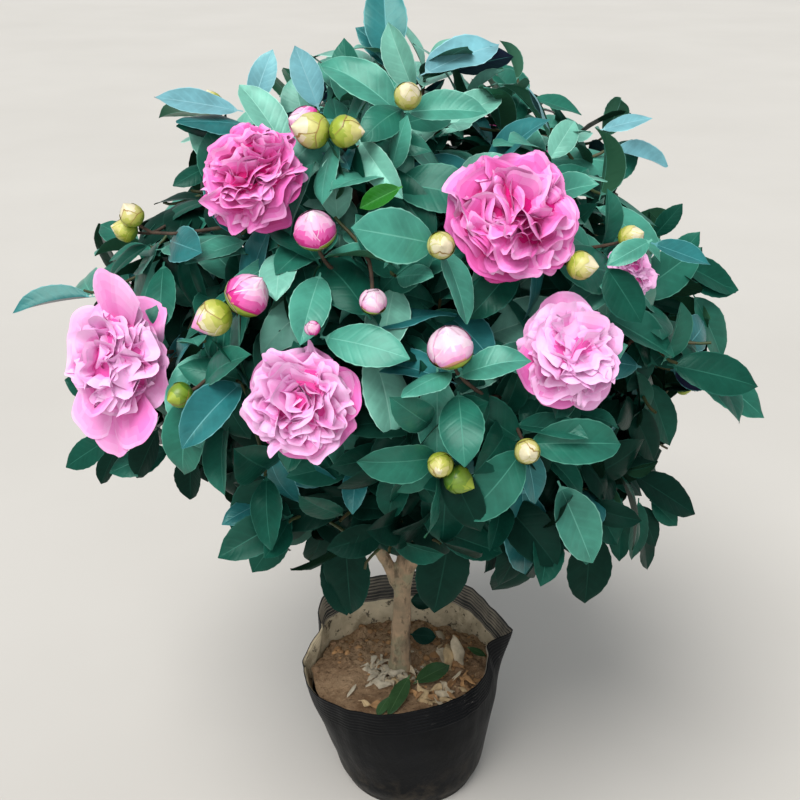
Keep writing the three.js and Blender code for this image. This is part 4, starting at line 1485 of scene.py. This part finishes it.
def dress_crown():
    """Grows the twigs, then sets leaves, blooms and buds at their tips."""
    rng = random.Random(CROWN_SEED)
    flowers = flower_tips()
    petals = petal_materials()
    blooms = {True: Joined("blooms_front", petals), False: Joined("blooms_back", petals)}
    buds = Joined("buds", bud_materials())
    foliage = Foliage(leaf_materials())
    for tip in flowers:
        keep_flower_room(foliage, tip)
    sprays = free_sprays(foliage, flowers, rng)
    twigs = Joined("twigs", twig_materials())
    for name in mass_names:
        own = [tip for tip in flowers + sprays if tip["mass"] == name]
        grow(twigs, *bough_end(name), own, rng)
    for tip in sprays:
        set_spray(foliage, buds, tip, rng)
    for tip in flowers:
        rng = random.Random(tip["seed"])
        set_flower(foliage, blooms, buds, tip, rng)
    for leaf in FAR_LEAVES:
        add_placed_leaf(foliage, leaf_piece(nearest_mass(np.array(leaf["base"]))), leaf, rng)
    for leaf in FALLEN_LEAVES:
        add_placed_leaf(foliage, "leaves_fallen", leaf, rng)
    for name, piece in sorted(foliage.pieces.items()):
        piece.build("leaves", *[mass for mass in mass_names if leaf_piece(mass) == name])
    blooms[True].build("blooms")
    blooms[False].build("blooms")
    buds.build("buds")
    twigs.build("twigs")


def add_placed_leaf(foliage, piece, leaf, rng):
    """A leaf given by where it starts and ends and the way its upper face looks."""
    base, tip = np.array(leaf["base"]), np.array(leaf["tip"])
    foliage.add_leaf(piece, base, tip - base, aimed(*leaf["face"]),
                     np.linalg.norm(tip - base) * 1.02, leaf["tone"], rng,
                     droop=rng.uniform(*PLACED_DROOP), free=True, wide=leaf.get("wide"))


def leaf_piece(mass):
    """The joined piece that a mass's leaves go into: its ring, front or back."""
    ring = mass.split("_")[1]
    ring = "upper" if ring == "top" else ring
    side = "front" if mass_middle(mass)[1] < 0 else "back"
    return f"leaves_{ring}_{side}"


def twig_materials():
    return [
        plain_mottled("twig_bark", (0.030, 0.017, 0.011), (0.085, 0.050, 0.030), 160.0, 0.8,
                      relief=0.5, depth=0.0008),
        plain_mottled("twig_green", (0.035, 0.070, 0.018), (0.080, 0.055, 0.026), 120.0, 0.6,
                      relief=0.3),
    ]


# ---------------------------------------------------------------- the wood

BARK_VOXEL = 1.7 * MM
BARK_RELIEF = 0.0007
BARK_KNOTS = 0.0017


def vertex_values(mesh, kind):
    """The places or normals of a mesh's vertices."""
    values = np.empty(len(mesh.vertices) * 3, np.float32)
    mesh.vertices.foreach_get(kind, values)
    return values.reshape(-1, 3)


def dress_wood():
    """One skin of bark over the trunk, limbs and boughs, welded where they meet."""
    wood = [name for name in nodes if name.startswith(("trunk", "limb_", "bough_"))]
    points, faces, count = [], [], 0
    for name in wood:
        mesh = nodes[name].data
        points += [tuple(vertex.co) for vertex in mesh.vertices]
        faces += [[index + count for index in face.vertices] for face in mesh.polygons]
        count = len(points)
    mesh = bpy.data.meshes.new("wood")
    mesh.from_pydata(points, [], faces)
    piece = finished("wood", mesh, "bark", *wood)
    remesh = piece.modifiers.new("weld", "REMESH")
    remesh.mode = "VOXEL"
    remesh.voxel_size = BARK_VOXEL
    relax = piece.modifiers.new("relax", "SMOOTH")
    relax.factor = 0.5
    relax.iterations = 6
    apply_modifiers(piece)
    coordinates = vertex_values(piece.data, "co")
    normals = vertex_values(piece.data, "normal")
    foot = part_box("trunk")[0].z
    for index, point in enumerate(coordinates):
        if point[2] < foot + 0.5 * MM:
            continue
        rough = noise.fractal(Vector((point[0] * 150, point[1] * 150, point[2] * 60)), 0.6, 2.1, 4)
        knots = noise.noise(Vector(point * 45))
        coordinates[index] += normals[index] * (BARK_RELIEF * rough + BARK_KNOTS * knots)
    piece.data.vertices.foreach_set("co", coordinates.ravel())
    piece.data.update()
    piece.data.materials.clear()
    piece.data.materials.append(bark_material())
    piece.data.polygons.foreach_set("use_smooth", np.ones(len(piece.data.polygons), dtype=bool))


def apply_modifiers(piece):
    """Bakes a piece's modifiers into its mesh."""
    bpy.context.view_layer.update()
    depsgraph = bpy.context.evaluated_depsgraph_get()
    mesh = bpy.data.meshes.new_from_object(piece.evaluated_get(depsgraph))
    piece.modifiers.clear()
    piece.data = mesh


def bark_material():
    """Smooth tan-grey bark with green-grey blotches and fine cracks along the wood."""
    material, tree, shader = principled("bark", Roughness=0.82)
    grain = noise_value(tree, 60.0, 6.0, 0.65, (1, 1, 0.35))
    colour = mottle(tree, (0.40, 0.270, 0.165), (0.21, 0.160, 0.100), 64.0)["Color"]
    lichen = ramp(tree, noise_value(tree, 30.0, 5.0, 0.6), 0.50, 0.60)
    colour = tinted(tree, colour, lichen, 0.7, (0.200, 0.205, 0.125))
    flecks = ramp(tree, noise_value(tree, 110.0, 6.0, 0.65, (1, 1, 0.5)), 0.56, 0.64)
    colour = tinted(tree, colour, flecks, 0.7, (0.075, 0.055, 0.032))
    cracks = ramp(tree, grain, 0.5, 0.3)
    colour = mix_colours(tree, cracks, colour, shade((0.070, 0.048, 0.028)))
    surface(tree, shader, colour, grain, 0.6, 0.0012)
    return material


# ---------------------------------------------------------------- pot and soil

POT_TURNS = 180
POT_WALL = 1.7 * MM
POT_RIBS = {"from": 35 * MM, "pitch": 4.4 * MM, "depth": 1.2 * MM}
# The outside shows the rings most here: turn, width in degrees, and the share elsewhere.
RIBS_OUTSIDE = {"turn": 305, "wide": 40, "elsewhere": 0.12}
# Where the slack wall is pressed in or pulled out near its rim: turn and width in degrees, and
# how far out the rim moves.
PINCHES = [
    {"turn": 164, "wide": 4.5, "out": -9 * MM},
    {"turn": 178, "wide": 6, "out": 3 * MM},
    {"turn": 350, "wide": 5, "out": -9 * MM},
    {"turn": 1, "wide": 3.5, "out": 6 * MM},
]
PINCH_DROP = 50 * MM                     # how far below the rim a pinch fades out
LAST_RING = 0.6 * MM                     # where the rings end below the rim
BELOW_SOIL = 26 * MM                     # how far the inside of the wall goes on under the soil
# The soil has sunk and drawn back from the slack lip: turn and width in degrees.
SOIL_GAP = {"turn": 190, "wide": 30, "in": 8 * MM, "dip": 6 * MM, "from": 0.5}
SOIL_BACK = {"dip": 12 * MM, "span": (0.02, 0.10)}     # how the soil sinks towards the back
POT_ROWS = {"plain": 26, "ribbed": 48, "within": 12}
RIM_SEARCH = (0.12, 0.23)
RIM_RAGGED = 1.6 * MM
# How far the slack wall dents in and out, broadly and in folds, between which heights it gets
# slack, and how far the stiff wall below does.
DENTS = {"loose": (0.02, 0.15), "broad": 0.0026, "folds": 0.0012, "stiff": 0.0005}
WALL_STEP = 3 * MM
SOIL_RELIEF = {"fine": 0.0014, "flat": 0.0018, "clods": 0.0062}
SOIL_SUNK = 1.2 * MM                     # its mean level below the CAD soil's top
SOIL_CLEAR = 1.4 * MM                    # between its side and the wall
SOIL_SIDE_ROWS = 6
SOIL_RINGS = 70


def smoothed_round(values, reach):
    """Values round a circle of turns, each blended with its neighbours."""
    shifts = range(-reach, reach + 1)
    total = sum(np.roll(values, shift, axis=0) * (reach + 1 - abs(shift)) for shift in shifts)
    return total / (reach + 1) ** 2


class Wall:
    """The pot's wall, measured on the CAD pot and smoothed: its rim, and its radius by turn
    and height, with the soft dents of slack film."""

    def __init__(self):
        mesh = nodes["pot"].data
        points = np.array([vertex.co for vertex in mesh.vertices])
        self.tree = BVHTree.FromPolygons(
            [tuple(point) for point in points], [tuple(face.vertices) for face in mesh.polygons])
        foot = points[points[:, 2] < 0.1 * MM]
        self.middle = (foot.min(axis=0) + foot.max(axis=0)) / 2
        self.turns = round_turns(POT_TURNS)
        rims = np.array([self.find_rim(turn) for turn in self.turns])
        ragged = np.array([round_noise(turn, 7, 0) for turn in self.turns])
        self.rims = smoothed_round(rims, 2) + RIM_RAGGED * ragged
        self.heights = np.arange(0.0, rims.max() + 3 * WALL_STEP, WALL_STEP)
        radii = np.array([
            [self.measured(turn, min(max(height, 0.4 * MM), rim - 1 * MM))
             for height in self.heights]
            for turn, rim in zip(self.turns, rims)])
        padded = np.pad(smoothed_round(radii, 3), ((0, 0), (2, 2)), mode="edge")
        self.radii = sum(padded[:, step:step + len(self.heights)] for step in range(5)) / 5
        for column, turn in enumerate(self.turns):
            for row, height in enumerate(self.heights):
                rim = self.rims[column]
                near_rim = float(smooth(np.array(height), rim - PINCH_DROP, rim))
                self.radii[column, row] += dent(turn, height) + pinch(turn) * near_rim

    def measured(self, turn, height):
        """Radius of the wall on this side at a height, met from far outside."""
        out = Vector((math.cos(turn), math.sin(turn), 0))
        start = Vector(self.middle) + out * 0.3
        start.z = height
        hit = self.tree.ray_cast(start, -out)[0]
        return 0.0 if hit is None else (hit - Vector(self.middle)).dot(out)

    def find_rim(self, turn):
        """Height at which a level ray from outside first clears the wall."""
        low, high = RIM_SEARCH
        for _ in range(12):
            height = (low + high) / 2
            if self.measured(turn, height) > 0.05:
                low = height
            else:
                high = height
        return low

    def radius(self, column, height):
        return float(np.interp(height, self.heights, self.radii[column]))

    def place(self, column, radius, height):
        turn = self.turns[column]
        return self.middle + np.array([radius * math.cos(turn), radius * math.sin(turn), height])


def round_noise(turn, turns, height):
    """Noise round the pot: turns says how fast it changes round it, height is a third way."""
    return noise.noise(Vector((math.cos(turn) * turns, math.sin(turn) * turns, height)))


def dent(turn, height):
    """Soft dents and upright folds of the slack wall, fullest high up."""
    loose = smooth(np.array(height), *DENTS["loose"])
    broad = round_noise(turn, 1.6, height * 9)
    folds = round_noise(turn, 8, height * 5)
    slack = loose * (DENTS["broad"] * broad + DENTS["folds"] * folds)
    return float(slack + DENTS["stiff"] * broad)


def degrees_apart(turn, degrees):
    return (math.degrees(turn) - degrees + 180) % 360 - 180


def pinch(turn):
    """How far out the pinches move the rim at a turn."""
    return sum(place["out"] * math.exp(-(degrees_apart(turn, place["turn"]) / place["wide"]) ** 2)
               for place in PINCHES)


def rib_height(below_rim):
    """The fine moulded rings that run round just under the rim."""
    fade = min(1.0, max(0.0, (POT_RIBS["from"] - below_rim) / POT_RIBS["pitch"]))
    return POT_RIBS["depth"] * fade * math.sin(below_rim / POT_RIBS["pitch"] * 2 * math.pi)


FILM, GROOVE, CREST, CAKED = range(4)    # the pot's slots


def dress_pot(wall):
    """The pot as one thin shell: up the outside, over the rim and down the inside."""
    ribbed = np.linspace(POT_RIBS["from"], LAST_RING, POT_ROWS["ribbed"])
    below_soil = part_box("soil")[1].z - BELOW_SOIL
    grid = []
    for column in range(POT_TURNS):
        rim = float(wall.rims[column])
        lowest = rim - POT_RIBS["from"]
        plain = lowest * np.linspace(0, 1, POT_ROWS["plain"], endpoint=False) ** 1.15
        gap = degrees_apart(wall.turns[column], RIBS_OUTSIDE["turn"]) / RIBS_OUTSIDE["wide"]
        shown = RIBS_OUTSIDE["elsewhere"] + 0.5 * math.exp(-gap ** 2)
        outside = [(height, 0.0) for height in plain]
        outside += [(rim - below, shown * rib_height(below)) for below in ribbed]
        inside = [(rim - below, rib_height(below) - POT_WALL) for below in ribbed[::-1]]
        within = np.linspace(lowest, min(below_soil, lowest - 2 * MM), POT_ROWS["within"])
        inside += [(height, -POT_WALL) for height in within]
        ring = [(wall.radius(column, height) + shift, height) for height, shift in outside]
        ring.append((wall.radius(column, rim) - POT_WALL * 0.5, rim))
        ring += [(wall.radius(column, height) + shift, height) for height, shift in inside]
        ring = [(0.001, 0.0), (ring[0][0] * 0.9, 0.0)] + ring
        grid.append([wall.place(column, radius, height) for radius, height in ring])
    grid = np.array(grid).transpose(1, 0, 2)
    slots = np.full((grid.shape[0] - 1, POT_TURNS), FILM)
    first_inside = 3 + POT_ROWS["plain"] + POT_ROWS["ribbed"]
    caked = [abs(degrees_apart(turn, SOIL_GAP["turn"])) < SOIL_GAP["wide"] for turn in wall.turns]
    for row in range(first_inside, len(slots)):
        step = row - first_inside
        if step >= POT_ROWS["ribbed"]:
            slots[row] = CAKED
        else:
            inward = rib_height(ribbed[::-1][step]) > 0.25 * POT_RIBS["depth"]
            slots[row] = GROOVE if inward else CREST
            slots[row, caked] = CAKED
    shell = Joined("pot_shell", [pot_material(), pot_groove_material(), pot_crest_material(),
                                 pot_inside_material()])
    shell.add(grid, slots, closed=True)
    shell.build("pot", "pot")


def pot_material():
    """Black film plastic: a soft sheen, pale scuffs near the rim and dust low down."""
    material, tree, shader = principled("pot_film", Specular_IOR_Level=0.10)
    film = mottle(tree, (0.0018, 0.0022, 0.0028), (0.0054, 0.0060, 0.0072), 16.0)
    dust = place_group(tree, dust_group, Top=0.07, Scale=46.0)
    dusty = tinted(tree, film["Color"], dust["Mask"], 0.35, (0.16, 0.125, 0.085))
    place = object_place(tree)
    high = math_node(tree, "MULTIPLY", ramp(tree, place["Z"], 0.135, 0.165),
                     ramp(tree, place["X"], 0.0, 0.06))
    scratch = ramp(tree, noise_value(tree, 60.0, 9.0, 0.82, (0.6, 0.6, 3.0)), 0.60, 0.68)
    scuffed = tinted(tree, dusty, scratch, high, (0.30, 0.29, 0.27))
    rough = ramp(tree, noise_value(tree, 30.0, 5.0), 0.2, 0.9)
    rough = math_node(tree, "ADD", math_node(tree, "MULTIPLY", rough, 0.22), 0.36)
    feed(tree, shader, {"Roughness": rough})
    wrinkles = noise_value(tree, 38.0, 5.0, 0.6, (1, 1, 0.45))
    surface(tree, shader, scuffed, wrinkles, 0.5, 0.004)
    return material


def pot_groove_material():
    """The worn film in the grooves between the rings."""
    return plain_mottled("pot_groove", (0.016, 0.017, 0.017), (0.060, 0.056, 0.048), 40.0, 0.7)


def pot_crest_material():
    """Dust on the crests of the rings."""
    return plain_mottled("pot_crest", (0.100, 0.092, 0.076), (0.33, 0.285, 0.215), 20.0, 0.85)


def pot_inside_material():
    """The inside of the wall, caked with dried earth that has dark specks."""
    material, tree, shader = principled("pot_inside", Roughness=0.9, Specular_IOR_Level=0.2)
    earth = mottle(tree, (0.40, 0.335, 0.225), (0.70, 0.60, 0.42), 30.0)
    stains = ramp(tree, noise_value(tree, 26.0, 6.0, 0.7), 0.52, 0.66)
    colour = tinted(tree, earth["Color"], stains, 0.6, (0.19, 0.145, 0.085))
    specks = ramp(tree, noise_value(tree, 100.0, 5.0, 0.7), 0.575, 0.64)
    colour = tinted(tree, colour, specks, 0.85, (0.030, 0.026, 0.020))
    surface(tree, shader, colour, earth["Height"], 0.5, 0.001)
    return material


def soil_height(x, y):
    """Crumbly earth: clods towards the back, smoother at the left, where it dips to the lip."""
    place = Vector((x, y, 0))
    hollow = SOIL_GAP["dip"] * smooth(np.array(-x / 0.1 - 0.2 * y / 0.1), SOIL_GAP["from"], 1.0)
    hollow = hollow + SOIL_BACK["dip"] * smooth(np.array(y), *SOIL_BACK["span"])
    clods = smooth(np.array(y + 0.35 * x), -0.05, 0.05)
    fine = noise.fractal(place * 120, 0.9, 2.0, 5)
    coarse = noise.multi_fractal(place * 34, 0.8, 2.1, 4) - 1.0
    lumps = SOIL_RELIEF["flat"] + SOIL_RELIEF["clods"] * clods
    return float(SOIL_RELIEF["fine"] * fine + lumps * coarse - hollow)


def soil_top(x, y):
    """The place on the soil there."""
    return np.array([x, y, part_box("soil")[1].z + soil_height(x, y)])


def dress_soil(wall):
    """The soil's top, out to the pot's wall and down it."""
    low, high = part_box("soil")
    level = high.z - SOIL_SUNK
    grid = np.zeros((SOIL_RINGS + 1 + SOIL_SIDE_ROWS, POT_TURNS, 3))
    for column in range(POT_TURNS):
        away = degrees_apart(wall.turns[column], SOIL_GAP["turn"]) / SOIL_GAP["wide"]
        inset = POT_WALL + SOIL_CLEAR + SOIL_GAP["in"] * math.exp(-away ** 2)
        edge = wall.radius(column, level) - inset
        for ring in range(SOIL_RINGS + 1):
            place = wall.place(column, max(0.8 * MM, edge * ring / SOIL_RINGS), level)
            lift = soil_height(place[0], place[1])
            place[2] += min(lift, 0.0) if ring == SOIL_RINGS else lift
            grid[ring, column] = place
        for step in range(SOIL_SIDE_ROWS):
            height = level + (low.z + 1 * MM - level) * (step + 1) / SOIL_SIDE_ROWS
            grid[SOIL_RINGS + 1 + step, column] = wall.place(
                column, wall.radius(column, height) - inset, height)
    soil = Joined("earth", [earth_material()])
    soil.add(grid[::-1], 0, closed=True)
    soil.build("soil", "soil")


def earth_material():
    """Brown earth in clods and crumbs, damp and dry."""
    material, tree, shader = principled("earth", Roughness=0.95, Specular_IOR_Level=0.2)
    colour = mottle(tree, (0.185, 0.105, 0.055), (0.40, 0.265, 0.155), 22.0)["Color"]
    crumbs = noise_value(tree, 190.0, 8.0, 0.75)
    back = ramp(tree, object_place(tree)["Y"], -0.02, 0.08)
    dry = math_node(tree, "MULTIPLY", back, ramp(tree, crumbs, 0.38, 0.56))
    for mask, share, tone in (
            (ramp(tree, crumbs, 0.56, 0.68), 0.6, (0.62, 0.45, 0.27)),
            (ramp(tree, crumbs, 0.46, 0.36), 0.8, (0.080, 0.046, 0.025)),
            (dry, 0.55, (0.60, 0.42, 0.25))):
        colour = tinted(tree, colour, mask, share, tone)
    surface(tree, shader, colour, crumbs, 1.0, 0.003)
    return material


# ---------------------------------------------------------------- litter on the soil

HUSK_TONES = {
    "tan": (0.52, 0.38, 0.21),
    "pale": (0.56, 0.47, 0.33),
    "grey": (0.48, 0.42, 0.315),
    "brown": (0.34, 0.19, 0.085),
    "rust": (0.46, 0.255, 0.11),
    "earth": (0.27, 0.165, 0.090),
}
HUSK_ROWS = 12
HUSK_SLENDER = (0.38, 0.6)
HUSK_FORM = {"fold": (0.4, 1.0), "arch": (0.5, 1.1), "twist": (-1.4, 1.4), "wave": (0.05, 0.12),
             "phase": (0, 6)}
HEAP_REACH = 96 * MM                     # no heaped husk lies further out from the trunk's line
HUSK_CRUMPLES = {"count": 5, "span": (13 * MM, 30 * MM), "shift": (0.8 * MM, 2.0 * MM)}
# Loose clods at the back and right, and chips round the foot of the trunk: how many, their
# radii in millimetres, and their tones or how far out they lie.
CLODS = {"count": 420, "radius": (1.2, 5.5), "tones": ["earth", "earth", "brown", "brown", "rust"]}
CHIPS = {"count": 60, "radius": (1.2, 3.2), "out": (0.014, 0.036)}
CLOD_SIZE = (6, 8)                       # rows and columns


def husk_materials():
    return [plain_mottled(f"husk_{name}", shade(colour, 0.75), shade(colour, 1.15), 130.0, 0.9,
                          relief=0.4, depth=0.0006)
            for name, colour in HUSK_TONES.items()]


def add_clod(litter, middle, radius, slot, rng):
    """A small uneven lump."""
    rows, columns = CLOD_SIZE
    rise = np.linspace(-math.pi / 2, math.pi / 2, rows)[:, None]
    turn = round_turns(columns)[None, :]
    lump = 1 + 0.22 * np.sin(2 * turn + rng.uniform(0, 6)) * np.cos(3 * rise + rng.uniform(0, 6))
    round_part = np.maximum(np.cos(rise), 0.02)
    points = np.stack([lump * round_part * np.cos(turn), lump * round_part * np.sin(turn),
                       lump * np.sin(rise) * 0.7], axis=-1)
    stretch = np.array([rng.uniform(0.7, 1.3), rng.uniform(0.7, 1.3), rng.uniform(0.7, 1.1)])
    litter.add(points * stretch * radius + middle, slot, closed=True)


def on_soil(wall, rng, reach):
    """A random place on the soil, out to a share of its radius."""
    column = rng.randrange(POT_TURNS)
    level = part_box("soil")[1].z - SOIL_SUNK
    edge = wall.radius(column, level) - POT_WALL - 4 * MM
    place = wall.place(column, edge * reach * math.sqrt(rng.random()), level)
    place[2] += soil_height(place[0], place[1])
    return place


def add_husk(litter, husk, waves, rng):
    """A dead leaf lying on the soil, curled and crumpled."""
    heading, lift = math.radians(husk["heading"]), math.radians(husk["lift"])
    ahead = np.array([math.cos(heading), math.sin(heading), math.tan(lift)])
    x, y = husk["at"]
    base = soil_top(x, y)
    base[2] += husk["up"]
    points, places = leaf_shape(
        husk["length"], husk["length"] * rng.uniform(*HUSK_SLENDER), HUSK_ROWS,
        droop=husk["curl"], **dealt(HUSK_FORM, rng))
    points = crumple(points @ frame_along(ahead, np.array([0.0, -0.25, 1.0])).T + base, waves, 1.0)
    litter.add(points, list(HUSK_TONES).index(husk["tone"]), places)


def add_heap(litter, heap, waves, rng):
    """Small husks scattered round a place."""
    for _ in range(heap["count"]):
        spot = tuple(rng.gauss(middle, reach) for middle, reach in zip(heap["at"], heap["scatter"]))
        if math.hypot(*spot) < HEAP_REACH:
            husk = {"at": spot, "heading": rng.uniform(0, 360), "lift": rng.uniform(-20, 30),
                    "length": rng.uniform(*heap["length"]), "curl": rng.uniform(0.2, 1.2),
                    "tone": rng.choice(heap["tones"]), "up": rng.uniform(0.001, heap["up"])}
            add_husk(litter, husk, waves, rng)


def dress_litter(wall):
    """Curled husks, chips round the foot of the trunk, and loose clods at the back and right."""
    rng = random.Random(LITTER_SEED)
    litter = Joined("litter", husk_materials())
    names = list(HUSK_TONES)
    waves = make_waves(HUSK_CRUMPLES, rng)
    for husk in HUSKS:
        add_husk(litter, husk, waves, rng)
    for heap in HUSK_HEAPS:
        add_heap(litter, heap, waves, rng)
    for _ in range(CHIPS["count"]):
        turn, out = rng.uniform(0, 2 * math.pi), rng.uniform(*CHIPS["out"])
        x, y = out * math.cos(turn), out * math.sin(turn)
        radius = rng.uniform(*CHIPS["radius"]) * MM
        add_clod(litter, soil_top(x, y), radius, names.index(rng.choice(names)), rng)
    for _ in range(CLODS["count"]):
        middle = on_soil(wall, rng, 0.97)
        if rng.random() > smooth(np.array(middle[1] + 0.4 * middle[0]), -0.06, 0.05):
            continue
        tone = rng.choice(CLODS["tones"])
        add_clod(litter, middle, rng.uniform(*CLODS["radius"]) * MM, names.index(tone), rng)
    litter.build("litter")


# ---------------------------------------------------------------- put together

set_camera()
set_lights()
lay_floor()
dress_wood()
pot_wall = Wall()
dress_pot(pot_wall)
dress_soil(pot_wall)
dress_litter(pot_wall)
dress_crown()
